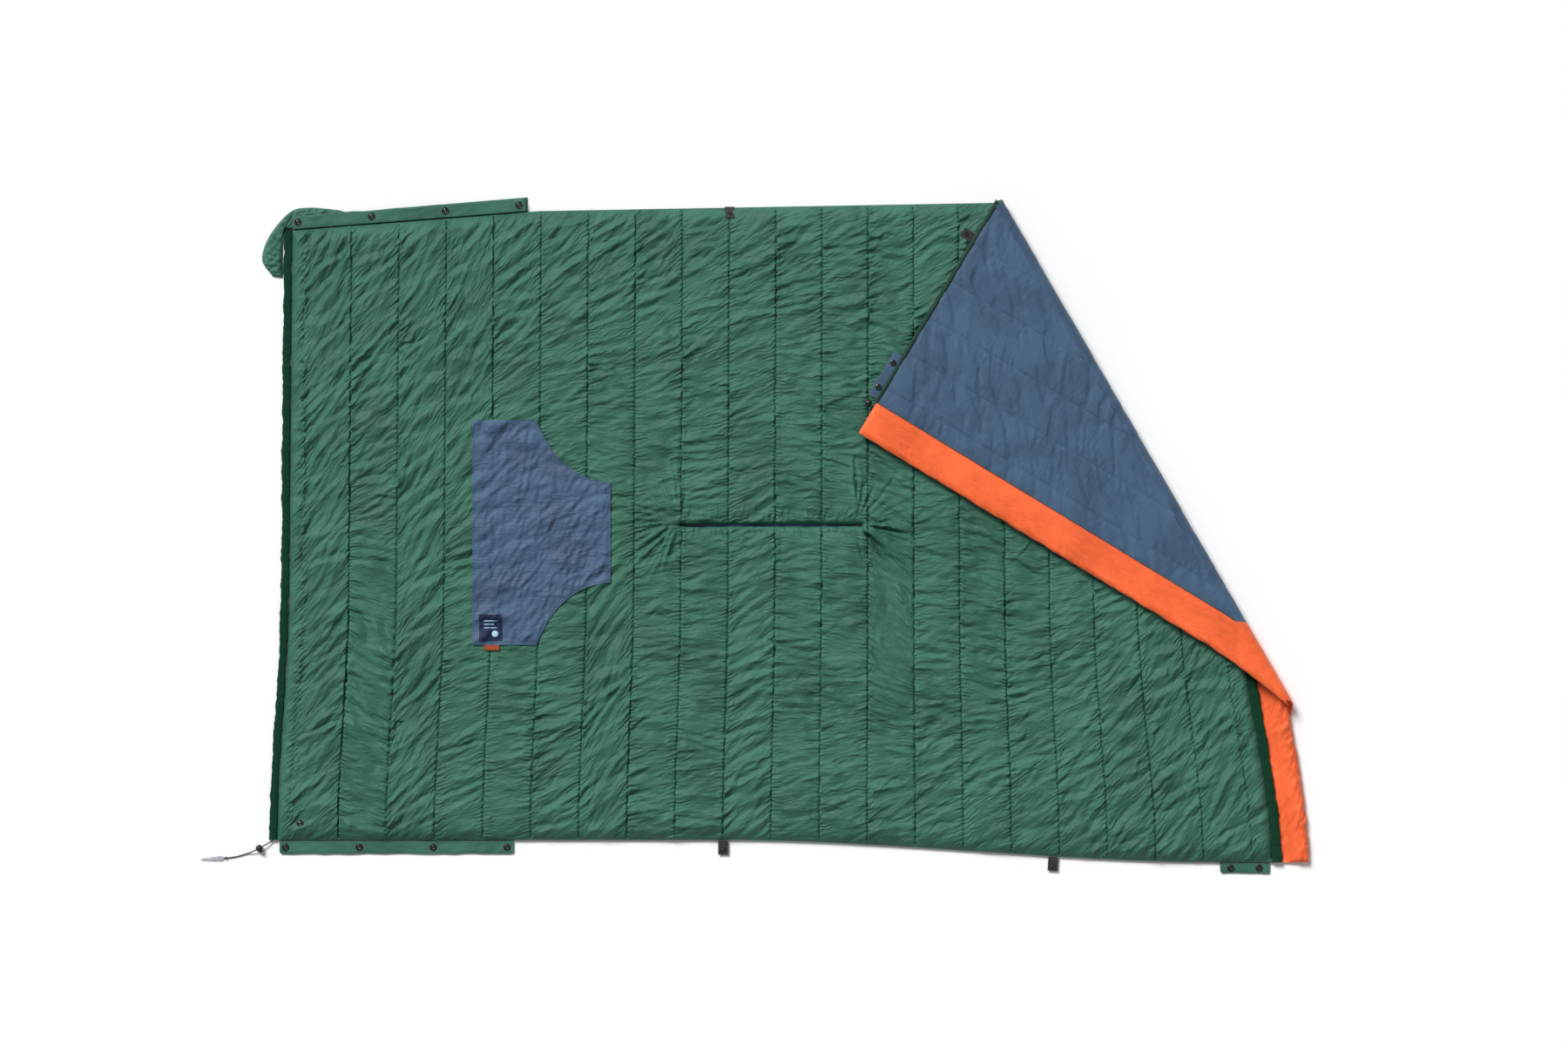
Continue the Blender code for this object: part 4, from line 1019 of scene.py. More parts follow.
def metal_material(name, colour):
    """Drawn wire: a fine grain in its colour and surface."""
    made, shader, surface, place, _ = start_material(name, 0.3, metallic=1.0)
    drawn = shader.noise(place, 900, 2.0, 0.5)
    shader.link(shader.mix(drawn, colour, lighter(colour, 0.8, 0)), surface.inputs["Base Color"])
    bumped(shader, surface, drawn, 0.00003)
    return made


def cord_material(name, colour):
    """Braided cord: two sets of strands crossing on the cord's own map."""
    made, shader, surface, _, uv = start_material(name, 0.7, specular=0.3, sheen=0.3)
    turned_map = shader.node("ShaderNodeMapping")
    turned_map.inputs["Rotation"].default_value = (0, 0, math.radians(45))
    shader.link(uv, turned_map.inputs["Vector"])
    weave = woven(shader, turned_map.outputs[0], 1500.0)
    tone = shader.mix(shader.ramp(weave, -0.4, 0.5), colour, lighter(colour, 3, 0.012))
    shader.link(tone, surface.inputs["Base Color"])
    bumped(shader, surface, weave, 0.0003)
    return made


def frosted_material(name):
    """Frosted clear plastic, hazed by slow noise."""
    made, shader, surface, place, _ = start_material(name, 0.35)
    surface.inputs["Transmission Weight"].default_value = 0.45
    surface.inputs["IOR"].default_value = 1.42
    haze = shader.noise(place, 120, 3.0, 0.6)
    tone = shader.mix(shader.ramp(haze, 0.3, 0.7), (0.56, 0.58, 0.64), (0.80, 0.82, 0.86))
    shader.link(tone, surface.inputs["Base Color"])
    bumped(shader, surface, haze, 0.0002)
    return made


SHELL = cloth_material("shell_cloth", GREEN, 0.55, 0.0, crease=0.0011, creased=True)
LINING = cloth_material("lining_cloth", BLUE, 0.60, 0.10, crease=0.00025)
COLLAR = cloth_material("collar_cloth", ORANGE, 0.55, 0.15, crease=0.0004)
STRIP = cloth_material("strip_cloth", lighter(GREEN, 1.03, 0), 0.55, 0.10, crease=0.0003)
POCKET = cloth_material("pocket_cloth", (0.052, 0.098, 0.172), 0.55, 0.10, crease=0.0006)
PILE = pile_material("hem_pile", PILE_GREEN)
# Dark green: the zip tapes' own colour; on the corner's edge roll it is also a painted shadow of the flap's
# edge.
BINDING = cloth_material("edge_binding", (0.006, 0.034, 0.020), 0.65, 0.10, crease=0.0002)
WEBBING = webbing_material("strap_webbing", BLACK)
PLASTIC = plastic_material("black_plastic", BLACK)
SNAP_PLASTIC = plastic_material("snap_plastic", (0.010, 0.010, 0.012), 0.22)
THREAD = cloth_material("seam_thread", (0.018, 0.075, 0.048), 0.6, 0.1, crease=0.0001, use_uv=False)
CORD = cord_material("cord_braid", (0.010, 0.010, 0.012))
FROSTED = frosted_material("frosted_tag")
LABEL = cloth_material("label_cloth", NAVY, 0.6, 0.0, crease=0.0001)
MOTIF = cloth_material("label_motif_cloth", (0.35, 0.55, 0.68), 0.6, 0.2, crease=0.0001, use_uv=False)
TAG = cloth_material("tag_cloth", (0.33, 0.060, 0.020), 0.7, 0.2, crease=0.0002)
STEEL = metal_material("spring_steel_wire", (0.62, 0.62, 0.62))
FILLING = cloth_material("filling", (0.8, 0.8, 0.78), 0.9, 0.3, use_uv=False)


# ---- stage ----

def studio():
    """A pale floor under an even sky and one broad soft key light from the foot end's upper side."""
    corners = [(60 * a, 60 * b, -0.0006) for a, b in ((-1, -1), (1, -1), (1, 1), (-1, 1))]
    make("floor", corners, [(0, 1, 2, 3)], pale_floor())
    world = bpy.data.worlds.new("studio")
    bpy.context.scene.world = world
    world.use_nodes = True
    sky = world.node_tree.nodes["Background"]
    sky.inputs["Color"].default_value = (1, 1, 1, 1)
    sky.inputs["Strength"].default_value = 0.30
    light = bpy.data.lights.new("key", "SUN")
    light.angle = math.radians(22)
    light.energy = 3.55
    lamp = bpy.data.objects.new("key", light)
    lamp.rotation_euler = Vector((0.55, -0.80, -0.90)).to_track_quat("-Z", "Y").to_euler()
    bpy.context.scene.collection.objects.link(lamp)
    bpy.context.scene.view_settings.view_transform = "Standard"


def pale_floor():
    """Nearly white, with slow, faint shifts."""
    made, shader, surface, place, _ = start_material("pale_floor", 0.9, specular=0.1)
    slow = shader.noise(place, 3, 2.0, 0.5)
    shader.link(shader.mix(slow, (0.93, 0.93, 0.93), (0.96, 0.96, 0.96)), surface.inputs["Base Color"])
    return made


CAMERA_AT = (0.96525, 0.01053)
VIEW_WIDTH = 3.159
CAMERA_HEIGHT = 9.0
FOCUS_HEIGHT = 0.015


def camera():
    """Looks straight down, with VIEW_WIDTH metres of the quilt's own level across its view."""
    data = bpy.data.cameras.new("camera")
    data.sensor_width = 36
    data.lens = data.sensor_width * (CAMERA_HEIGHT - FOCUS_HEIGHT) / VIEW_WIDTH
    found = bpy.data.objects.new("camera", data)
    found.location = (*CAMERA_AT, CAMERA_HEIGHT)
    bpy.context.scene.collection.objects.link(found)
    bpy.context.scene.camera = found


# ---- cords and locks ----

def cord_tube(name, path, radius, material):
    """A round tube with a map whose first coordinate runs along it and second goes round, both in metres."""
    path = np.asarray(path, float)
    rings = along_path(path, oval(2 * radius, 2 * radius, 14, 1.0))
    round_ = np.linspace(0, 2 * np.pi * radius, 14)
    uv = np.stack(np.broadcast_arrays(run_along(path)[:, None], round_[None]), -1)
    return pipe(name, rings, material, uv)


def pull_tag(end, along):
    """The leaf-shaped tag on the cord's end: squared ovals whose width and thickness follow its length."""
    side = np.array([-along[1], along[0], 0])
    share = np.linspace(0, 1, 26)
    run = 0.0006 + share * 0.0466
    half = np.interp(share, [0, 0.06, 0.14, 0.50, 0.85, 1], [0.0026, 0.0042, 0.0050, 0.0041, 0.0027, 0.0018])
    thick = np.interp(share, [0, 0.05, 0.3, 0.9, 1], [0.0022, 0.0033, 0.0026, 0.0016, 0.0008])
    middle = end + run[:, None] * along
    angle = np.linspace(0, 2 * np.pi, 20, endpoint=False)
    cos, sin = np.cos(angle), np.sin(angle)
    across = np.sign(cos) * np.abs(cos) ** 0.6
    rings = middle[:, None] + half[:, None, None] * across[None, :, None] * side
    rings[..., 2] = 0.0002 + thick[:, None] * (0.5 + 0.5 * np.sign(sin) * np.abs(sin) ** 0.7)
    return pipe("cord_pull_tag", rings, FROSTED)


def loose_cord_end():
    """The foot drawcord's loose end: the cord, its knot, its tag and the lock that it leaves."""
    path = through(TAIL_ROUTE, 6)
    tail = cord_tube("loose_cord", path, CORD_WIDTH / 2, CORD)
    end, before = path[-1], path[-2]
    along = (end - before) / np.linalg.norm(end - before)
    tag = pull_tag(end, along)
    knot_profile = [(0, -0.0032), (0.0016, -0.0028), (0.0023, -0.0012), (0.0022, 0.0010), (0.0015, 0.0026),
                    (0, 0.0030)]
    knot = turned("cord_knot", knot_profile, path[-4] + (0, 0, 0.0012), along, CORD, 18)
    fitted(tail, "quilt", "foot_cord_tail")
    fitted(tag, "quilt", "foot_cord_tag")
    fitted(knot, "quilt")
    lock = cord_lock("foot_lock", "quilt", "foot_lock_button")


def lock_centre(name, press):
    """The barrel's centre. Its box reaches one radius past it, away from the button and to both sides."""
    low, high = (np.array(c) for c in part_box(name + "_barrel"))
    centre = (low + high) / 2
    pole = np.where(press > 0, high - LOCK_RADIUS, low + LOCK_RADIUS)
    level = np.abs(press) > 0.3
    centre[level] = pole[level]
    return centre


def cord_lock(name, body, button_body):
    """A ball with a ribbed waist and a flat mouth, and its capped plunger; the spring keeps its solid."""
    press = joint(name + "_press")[1]
    centre, axis = lock_centre(name, press), -press
    mouth = 0.0050
    angle = np.linspace(-np.pi / 2, math.asin(mouth / LOCK_RADIUS), 26)
    rib = 1 + 0.02 * np.cos(angle * 18) * (np.abs(angle) < 0.45)
    shell = np.stack([LOCK_RADIUS * np.cos(angle) * rib, LOCK_RADIUS * np.sin(angle)], -1)
    inside = np.array([(0.0045, mouth), (0.0041, mouth - 0.0004), (0.0041, 0.0010), (0.0, 0.0010)])
    ball = turned(name + "_ball", np.concatenate([shell, inside]), centre, axis, PLASTIC, 40)
    fitted(ball, body, name + "_barrel")
    stem = [(0.0, 0.0032), (0.0036, 0.0032), (0.0036, 0.0080), (0.0036, 0.0088), (0.0034, 0.0094),
            (0.0026, 0.0096), (0.0020, 0.0092), (0.0, 0.0092)]
    button = turned(name + "_button", stem, centre, axis, SNAP_PLASTIC, 32)
    fitted(button, button_body, name + "_plunger")
    return ball, button, frame["nodes"][name + "_spring"]


studio()
camera()
loose_cord_end()


# ---- quilted cloth ----

def cloth_place(x, y):
    """The s and t of plan points, found by repeated correction."""
    s, t = x + FOOT_BAND + 0.02, np.full_like(x, 0.5)
    for _ in range(12):
        found_x, found_y = plan(s, np.clip(t, 0, 1))
        s, t = s + (x - found_x), t + (y - found_y) / WIDTH
    return s, t


def crease_corners(s, t):
    """The crease map at the corners of each face of the grid, all four in the face's own chamber."""
    k = np.broadcast_to(chamber_of((s[1:] + s[:-1]) / 2)[:, None], (len(s) - 1, len(t) - 1))
    corners = []
    for a, b in ((0, 0), (1, 0), (1, 1), (0, 1)):
        at_s, at_t = np.meshgrid(s[a:len(s) - 1 + a], t[b:len(t) - 1 + b], indexing="ij")
        corners.append(np.stack(crease_map(at_s, at_t * WIDTH, k), -1))
    return np.stack(corners, 2)


def quilted_pieces():
    """The green and blue faces of the body and of the corner."""
    s, t = stations(), across_places(ACROSS_CELLS)
    grid_s, grid_t = np.meshgrid(s, t, indexing="ij")
    field = shell_wrinkles()
    x, y = plan(grid_s, grid_t)
    top = np.stack([x, y, shell_height(grid_s, grid_t, field)], -1)
    inside = np.clip(edge_distance(grid_s, grid_t) / 0.02, 0, 1)
    for axis in (0, 1):
        pull = noise(grid_s / 0.021 + axis * 40, grid_t * WIDTH / 0.011, 50 + axis)
        top[..., axis] += 0.0016 * inside * pull
    uv = np.stack([grid_s, grid_t * WIDTH], -1)
    share = np.mod((grid_s - FOOT_BAND) / PITCH, 1.0)
    on_seam = (np.minimum(share, 1 - share) < 1e-4) | (grid_s < FOOT_BAND)
    edge = (edge_distance(grid_s, grid_t) < 0.004) | (slit_distance(x, y) < 0.006)
    top = settle(top, on_seam | edge)
    creased = crease_corners(s, t)
    body = half_pad("quilt_shell", top, uv, False, BODY_BASE_Z, SHELL, crease=creased)
    near = s > 1.15
    near_creases = creased[-(int(near.sum()) - 1):]
    corner = turn_over(half_pad("corner_shell", top[near], uv[near], True, MIDDLE_Z, SHELL,
                                crease=near_creases))
    low = np.stack([x, y, lining_height(grid_s, grid_t, LINING_FOLDS)], -1)
    few = (slice(None, None, 3), slice(None, None, 8))
    corner_lining = turn_over(half_pad("corner_lining_cloth", low[near], uv[near], True, LINING_BASE_Z,
                                       LINING, BEND_REACH))
    pressed = low[few].copy()
    pressed[..., 2] = np.minimum(pressed[..., 2], BODY_BASE_Z - 0.0003)
    body_lining = half_pad("quilt_lining", pressed, uv[few], False, LINING_BASE_Z, LINING, BEND_REACH)
    fitted(body, "quilt", "outer_shell", "fill", fill=0.5)
    fitted(body_lining, "quilt", "lining", fill=0.5)
    fitted(corner, "corner_flap", "corner_outer_shell", "corner_fill", fill=0.5)
    fitted(corner_lining, "corner_flap", "corner_lining", fill=0.5)
    return top, s, t


LINING_FOLDS = lining_wrinkles()
TOP, TOP_S, TOP_T = quilted_pieces()


def shell_at(x, y):
    """Height of the finished shell over plan points."""
    s, t = cloth_place(np.asarray(x, float), np.asarray(y, float))
    row = np.clip(np.interp(s, TOP_S, np.arange(len(TOP_S))), 0, len(TOP_S) - 1.001)
    column = np.clip(np.interp(t, TOP_T, np.arange(len(TOP_T))), 0, len(TOP_T) - 1.001)
    return between(TOP[..., 2], row, column)


# ---- the fold's outer side ----

def fold_roll():
    """Lining carried round the outside of the fold, from the long edge to the head edge."""
    across = np.linspace(-BEND_REACH - 0.0008, BEND_REACH + 0.0008, 25)
    along = np.linspace(0.0012, FOLD_END, 260)
    d, e = np.meshgrid(across, along)
    flat = FOLD_AT + e[..., None] * ALONG_FOLD + d[..., None] * ACROSS_FOLD
    s, t = cloth_place(flat[..., 0], flat[..., 1])
    outer = np.minimum(lining_height(s, np.clip(t, 0, 1), LINING_FOLDS), 0.0020)
    outer += 0.0007 * noise(e / 0.018, d / 0.012, 61) * np.clip(1 - (d / BEND_REACH) ** 2, 0, 1)
    low, high = flat.copy(), flat.copy()
    low[..., 2] = outer
    high[..., 2] = outer + 0.0016
    uv = np.stack([e, d * 4], -1)
    roll = slab("fold_roll", bent(low), bent(high), LINING, uv)
    blend_over(roll)


def fold_end():
    """How far along the fold line the head edge lies."""
    t = np.linspace(0.1, 1, 4000)
    x, y = plan(LENGTH, t)
    arm = np.stack([x, y, np.full_like(x, FOLD_AT[2])], -1) - FOLD_AT
    past = arm @ ACROSS_FOLD
    return float((arm @ ALONG_FOLD)[np.argmin(np.abs(past))])


FOLD_END = fold_end()
fold_roll()


# ---- collar and hems ----

COLLAR_FIELD = strip_wrinkles(1.42, 0.16, 41, 16, 28, 0.0030, 0.50)


def collar_section(u):
    """Side and height of the collar's teardrop section at share u of its way round, from the sewn edge over
    the top to the outer rim and back underneath. Each knot is its share, its side and its height."""
    shares, out, height = np.array([
        (0.00, 0.0010, 0.0034), (0.16, 0.0260, 0.0042), (0.24, 0.0380, 0.0110), (0.34, 0.0510, 0.0180),
        (0.42, 0.0630, 0.0185), (0.49, 0.0705, 0.0125), (0.55, 0.0715, 0.0070), (0.61, 0.0660, 0.0022),
        (0.68, 0.0550, 0.0006), (0.84, 0.0260, 0.0004), (1.00, 0.0010, 0.0004),
    ]).T
    return through_values(u, shares, out), through_values(u, shares, height)


def through_values(u, shares, values):
    """Smooth values between knots: a Catmull-Rom curve through them, read at u."""
    fine = through(np.stack([shares, values], -1), 12)
    return np.interp(u, fine[:, 0], fine[:, 1])


def collar_points(t, u, flatten=1.0):
    """Points of the flat collar: the section stands out from the head edge, with its wrinkles along its own
    height and plucked in a little every few centimetres."""
    out, height = collar_section(u)
    x, y = plan(LENGTH, t)
    run = y + WIDTH / 2 + 0.08
    relief = COLLAR_FIELD.at(run, u * COLLAR_ROUND) + 0.0012 * noise(run / 0.045, u * 3, 43)
    puff = np.sin(np.pi * np.clip(u, 0, 1)) ** 0.7
    height = height + relief * puff * np.where(u < 0.55, 1.0, -0.6) * flatten
    out = out + 0.0016 * puff * noise(run / 0.03, u * 0 + 2, 44)
    return np.stack([x + out, y, np.maximum(height, 0.0003) * flatten], -1)


def tapered_ends(points, reach):
    """Flattens the last stations of a tube towards its middle, as a quarter circle, so that its end is
    rounded."""
    run = run_along(points.mean(1))
    near = np.minimum(run, run[-1] - run) / reach
    size = np.sqrt(np.clip(1 - (1 - np.clip(near, 0, 1)) ** 2, 0.02, 1))
    middle = points.mean(1, keepdims=True)
    shaped = points.copy()
    shaped[..., 2] = middle[..., 2] + (points[..., 2] - middle[..., 2]) * size[:, None]
    return shaped


def settled_on(piece, corner, fill, *nodes):
    """Puts one half of a piece on the quilt, or folded over on the corner."""
    if corner:
        turn_over(piece)
    fitted(piece, "corner_flap" if corner else "quilt", *nodes, fill=fill)


def collars():
    """The draught collar: body and corner halves, and the flattened stretch that bends round the fold."""
    t, u = np.linspace(0, 1, 430), np.linspace(0, 1, 57)[:-1]
    grid_t, grid_u = np.meshgrid(t, u, indexing="ij")
    flat = tapered_ends(collar_points(grid_t, grid_u), 0.010)
    uv = np.stack([grid_t * COLLAR_RUN, grid_u * COLLAR_ROUND], -1)
    for prefix, corner in (("", False), ("corner_", True)):
        piece = half_of(pipe(prefix + "collar", flat, COLLAR, uv), corner)
        settled_on(piece, corner, 0.6, prefix + "collar_casing", prefix + "collar_fill")
    d = np.linspace(-BEND_REACH - 0.0014, BEND_REACH + 0.0014, 27)
    fine = np.linspace(0.05, 0.5, 1500)
    stations_t = np.empty((len(d), len(u)))
    for column, share in enumerate(u):
        line = collar_points(fine, np.full_like(fine, share))
        past = (line - FOLD_AT) @ ACROSS_FOLD
        order = np.argsort(past)
        stations_t[:, column] = np.interp(d, past[order], fine[order])
    ring = collar_points(stations_t, np.broadcast_to(u, stations_t.shape), 0.42)
    uv = np.stack(np.broadcast_arrays(stations_t * COLLAR_RUN, u * COLLAR_ROUND), -1)
    piece = pipe("collar_bend", bent(ring), COLLAR, uv)
    blend_over(piece)


def hem_rings(s, beyond, height, width, thick, seed):
    """Rings of a gathered channel beyond an end edge: an oval that swells and pinches every centimetre."""
    t = np.linspace(0, 1, 520)
    x, y = plan(s, t)
    path = np.stack([x + beyond, y, np.full_like(x, height)], -1)
    swell = 1 + 0.13 * noise(y / 0.009, y * 0 + 0.5, seed) + 0.10 * noise(y / 0.034, y * 0 + 3.5, seed)
    section = oval(width, thick, 18, 0.75)
    rings = path[:, None] + np.stack([
        section[:, 0] * swell[:, None], np.zeros((len(t), 18)),
        section[:, 1] * (2 * swell[:, None] - 1),
    ], -1)
    rings[..., 0] += (0.0016 * noise(y / 0.026, y * 0 + 7.5, seed))[:, None]
    return rings


def hems():
    """The drawcord channels of the foot edge and, in two halves, of the head edge."""
    rings = hem_rings(0, -HEM_WIDTH / 2 - 0.0002, 0.0040, HEM_WIDTH - 0.001, 0.0074, 71)
    fitted(pipe("foot_hem", rings, PILE), "quilt", "foot_hem_channel", fill=0.3)
    rings = hem_rings(LENGTH, HEM_WIDTH / 2 - 0.0014, 0.0082, HEM_WIDTH + 0.0014, 0.0072, 73)
    for name, corner in (("head_hem", False), ("corner_head_hem", True)):
        piece = half_of(pipe(name, rings, PILE), corner)
        settled_on(piece, corner, 0.3, name + "_channel")


collars()
hems()


# ---- edge binding ----

def binding_rings(s, t, full=1.0):
    """Rings of the rolled edge along a long edge, with its small puckers; full widens it outwards, and on the
    corner that width takes in a painted shadow.
    """
    x, y = plan(s, np.full_like(s, t))
    way = 1 if t else -1
    pucker = noise(s / 0.009, s * 0 + t * 9, 81)
    inset = 0.0032 - 0.0072 * (full - 1) + 0.0004 * pucker
    path = np.stack([x, y - way * inset, 0.0046 + 0.0005 * noise(s / 0.03, s * 0, 82)], -1)
    section = oval(0.0068 * full, 0.0076, 12, 0.9)
    return path[:, None] + np.stack([
        np.zeros((len(s), 12)), section[:, 0] * (1 + 0.08 * pucker[:, None]),
        section[:, 1] * (1 + 0.12 * pucker[:, None]),
    ], -1)


def bindings():
    """The rolled long edges: the lower one, the upper one on the quilt and on the corner, where it is wider
    and dark to hold a painted shadow, and its bend.
    """
    s = np.linspace(0.002, LENGTH - 0.002, 640)
    uv = np.stack(np.broadcast_arrays(s[:, None], np.linspace(0, 0.018, 12)[None]), -1)
    fitted(pipe("lower_edge_roll", binding_rings(s, 0), STRIP, uv), "quilt", fill=0.3)
    # On the corner the roll is wider and dark green: partly its own dark binding, partly a painted shadow of
    # the flap's edge.
    for name, corner, full, finish in (
        ("upper_edge_roll", False, 1.0, STRIP), ("corner_edge_roll_and_shadow", True, 1.5, BINDING),
    ):
        piece = half_of(pipe(name, binding_rings(s, 1, full), finish, uv), corner)
        settled_on(piece, corner, 0.3)
    near = LENGTH - CORNER_SIDE + np.linspace(-0.0125, 0.0125, 41)
    rings = binding_rings(near, 1)
    past = ((rings - FOLD_AT) @ ACROSS_FOLD).mean(1)
    near = np.interp(np.linspace(-BEND_REACH - 0.001, BEND_REACH + 0.001, 41), past, near)
    piece = pipe("edge_roll_bend", bent(binding_rings(near, 1)), STRIP)
    blend_over(piece)


bindings()


# ---- strips, straps and snaps ----

class Hinge:
    """The frame of a strip at rest: X along its hinge line, Y out over the strip, Z its upper side. A flipped
    strip lies upside down, turn lifts it about its line, and reverse swaps the line's ends."""

    def __init__(self, name, flipped=False, turn=0.0, reverse=False):
        self.origin, axis = joint(name)
        self.x = axis / np.linalg.norm(axis) * (-1 if reverse else 1)
        up = np.array([0, 0, -1.0 if flipped else 1.0])
        side = np.cross(up, self.x)
        self.y = math.cos(turn) * side + math.sin(turn) * up
        self.z = np.cross(self.x, self.y)

    def place(self, points):
        points = np.asarray(points, float)
        return self.origin + points[..., :1] * self.x + points[..., 1:2] * self.y + points[..., 2:] * self.z


def snap(name, hinge, x, y, radius, body, node):
    """A press snap: a domed cap with a raised rim and a dimple above the strip, and its socket ring below."""
    half, post = 0.0013, 0.0022
    socket = [(0, 0.0003), (0.25, 0.0003), (0.30, 0.0011), (0.55, 0.0011), (0.66, 0.0009), (0.84, 0.0008),
              (0.87, 0.0005), (0.87, 0)]
    cap = [(0.97, 0), (1, 0.0003), (0.985, 0.0008), (0.92, 0.00115), (0.84, 0.00115), (0.78, 0.0009),
           (0.60, 0.0010), (0.46, 0.00125), (0.40, 0.0015), (0.33, 0.0015), (0.27, 0.0011), (0.20, 0.0007),
           (0, 0.0006)]
    profile = [(radius * share, -half - down) for share, down in socket] + [(post, -half), (post, half)]
    profile += [(radius * share, half + up) for share, up in cap]
    piece = turned(name, profile, hinge.place((x, y, 0)), hinge.z, SNAP_PLASTIC, 40)
    fitted(piece, body, node)


def stitches(name, starts, ends, body, material=THREAD, rise=(0, 0, 1), width=0.0007):
    """Many short stitches as one object: each is a long octahedron between its two ends."""
    starts, ends = np.asarray(starts, float), np.asarray(ends, float)
    along = ends - starts
    along /= np.linalg.norm(along, axis=1)[:, None]
    up = np.broadcast_to(np.asarray(rise, float), along.shape)
    side = np.cross(along, up)
    middle = (starts + ends) / 2
    points = np.stack([
        starts, middle + side * width / 2, middle + up * width / 2, middle - side * width / 2,
        middle - up * width / 2, ends,
    ], 1).reshape(-1, 3)
    faces = np.array([(0, 2, 1), (0, 3, 2), (0, 4, 3), (0, 1, 4), (5, 1, 2), (5, 2, 3), (5, 3, 4), (5, 4, 1)])
    faces = (faces[None] + 6 * np.arange(len(starts))[:, None, None]).reshape(-1, 3)
    return fitted(outward(make(name, points, faces, material, smooth_shaded=False)), body)


def run_of_stitches(path):
    """Start and end points of stitches laid one after another along a path."""
    path = np.asarray(path, float)
    run = run_along(path)
    at = np.arange(STITCH_GAP, run[-1] - STITCH_LENGTH, STITCH_LENGTH + STITCH_GAP)
    return [np.stack([np.interp(where, run, path[:, k]) for k in range(3)], -1)
            for where in (at, at + STITCH_LENGTH)]


def strip_surface(hinge, half, width, seed):
    """Upper and lower grids of a strip of doubled cloth: its corners are cut back, it thins to its edges as
    a square root, a dent lies along each stitched line, and noise waves it."""
    corner, wave = 0.004, 0.0007
    across = np.concatenate([[0, 0.0006], np.linspace(0.0016, width - 0.0016, 11), [width - 0.0006, width]])
    u, w = np.meshgrid(np.linspace(-half, half, max(24, int(half * 500))), across, indexing="ij")
    cut = corner * np.clip((w - width + corner) / corner, 0, 1) ** 1.6
    x = u * (half - cut) / half
    near = np.minimum(w, width - w)
    thick = 0.0010 * np.sqrt(np.clip(near / 0.0014, 0.03, 1))
    seam = 0.0004 * np.exp(-((near - 0.0030) / 0.0007) ** 2)
    ripple = wave * noise(u / 0.022, w / 0.012, seed) * np.clip(w / 0.006, 0, 1)
    side = w + 0.0022 * noise(u / 0.045, w * 0 + 1.5, seed + 1) * np.clip(w / width, 0, 1)
    top = hinge.place(np.stack([x, side, thick - seam + ripple], -1))
    bottom = hinge.place(np.stack([x, side, -thick + seam + ripple * 0.5], -1))
    return top, bottom, np.stack([u, w], -1)


def cloth_strip(name, size, snap_places, seed, flipped=False, material=STRIP):
    """A strip on its hinge, with its snaps and two stitched lines on each side."""
    hinge, body = Hinge(name + "_fold", flipped), name + "_strip"
    top, bottom, uv = strip_surface(hinge, size[0] / 2, size[1], seed)
    fitted(slab(name + "_cloth", top, bottom, material, uv), body, name)
    for number, (x, y) in enumerate(snap_places, 1):
        snap(f"{name}_stud_{number}", hinge, x, y, SNAP_RADIUS, body, f"{name}_snap_{number}")
    rows = [run_of_stitches(side_points[:, at] + hinge.z * sign * 0.0001)
            for side_points, sign in ((top, 1), (bottom, -1)) for at in (3, 11)]
    starts, ends = (np.concatenate(points) for points in zip(*rows))
    stitches(name + "_stitches", starts, ends, body)


def strap(name, flipped=False, turn=0.0, reverse=False):
    """A short loop of doubled webbing, a little open at its fold, with a bar of stitches and a snap."""
    hinge, body = Hinge(name + "_fold", flipped, turn, reverse), name + "_loop"
    length, half = STRAP_LENGTH, STRAP_WIDTH / 2
    across = np.linspace(-half, half, 15)
    run = np.linspace(0, 1, 26)
    w = 0.0002 + run * (length - 0.0002)
    thick = 0.0009 + 0.0002 * np.exp(-((w - length + 0.003) / 0.003) ** 2)
    thick *= np.sqrt(np.clip((length - w) / 0.0012, 0.02, 1))
    edge = 0.0002 * (np.abs(across) > half * 0.9)
    x, side = np.meshgrid(across, w)
    top = hinge.place(np.stack([x, side, thick[:, None] - edge[None]], -1))
    bottom = hinge.place(np.stack([x, side, -thick[:, None] + edge[None]], -1))
    fitted(slab(name + "_webbing", top, bottom, WEBBING, np.stack([x, side], -1)), body, name)
    snap(name + "_stud", hinge, 0, length * 0.68, STRAP_SNAP_RADIUS, body, name + "_snap")
    bar = np.linspace(-half + 0.002, half - 0.002, 15)
    starts, ends = [], []
    for low in (0.0030, 0.0062):
        for a, b in zip(bar[:-1], bar[1:]):
            starts.append((a, low, 0.0011))
            ends.append((b, low + 0.0018, 0.0011))
    stitches(name + "_bartack", hinge.place(starts), hinge.place(ends), body, CORD, hinge.z, 0.0005)


def trims():
    """The four strips and the four straps along the long edges."""
    length, width = PLACKET
    for name, sign in (("upper_foot_placket", -1), ("lower_foot_placket", 1)):
        places = [(sign * (length / 2 - 0.012 - i * 0.149), width * 0.52) for i in range(4)]
        cloth_strip(name, PLACKET, places, 90 + sign)
    tab_places = [(0.0285, HEAD_TAB[1] / 2), (-0.0285, HEAD_TAB[1] / 2)]
    cloth_strip("lower_head_tab", HEAD_TAB, tab_places, 95)
    cloth_strip("upper_head_tab", HEAD_TAB, tab_places, 97, flipped=True, material=LINING)
    strap("lower_mid_strap")
    strap("lower_head_strap")
    strap("upper_head_strap", flipped=True)
    strap("upper_mid_strap", turn=math.radians(148), reverse=True)


trims()


# ---- draught flap ----

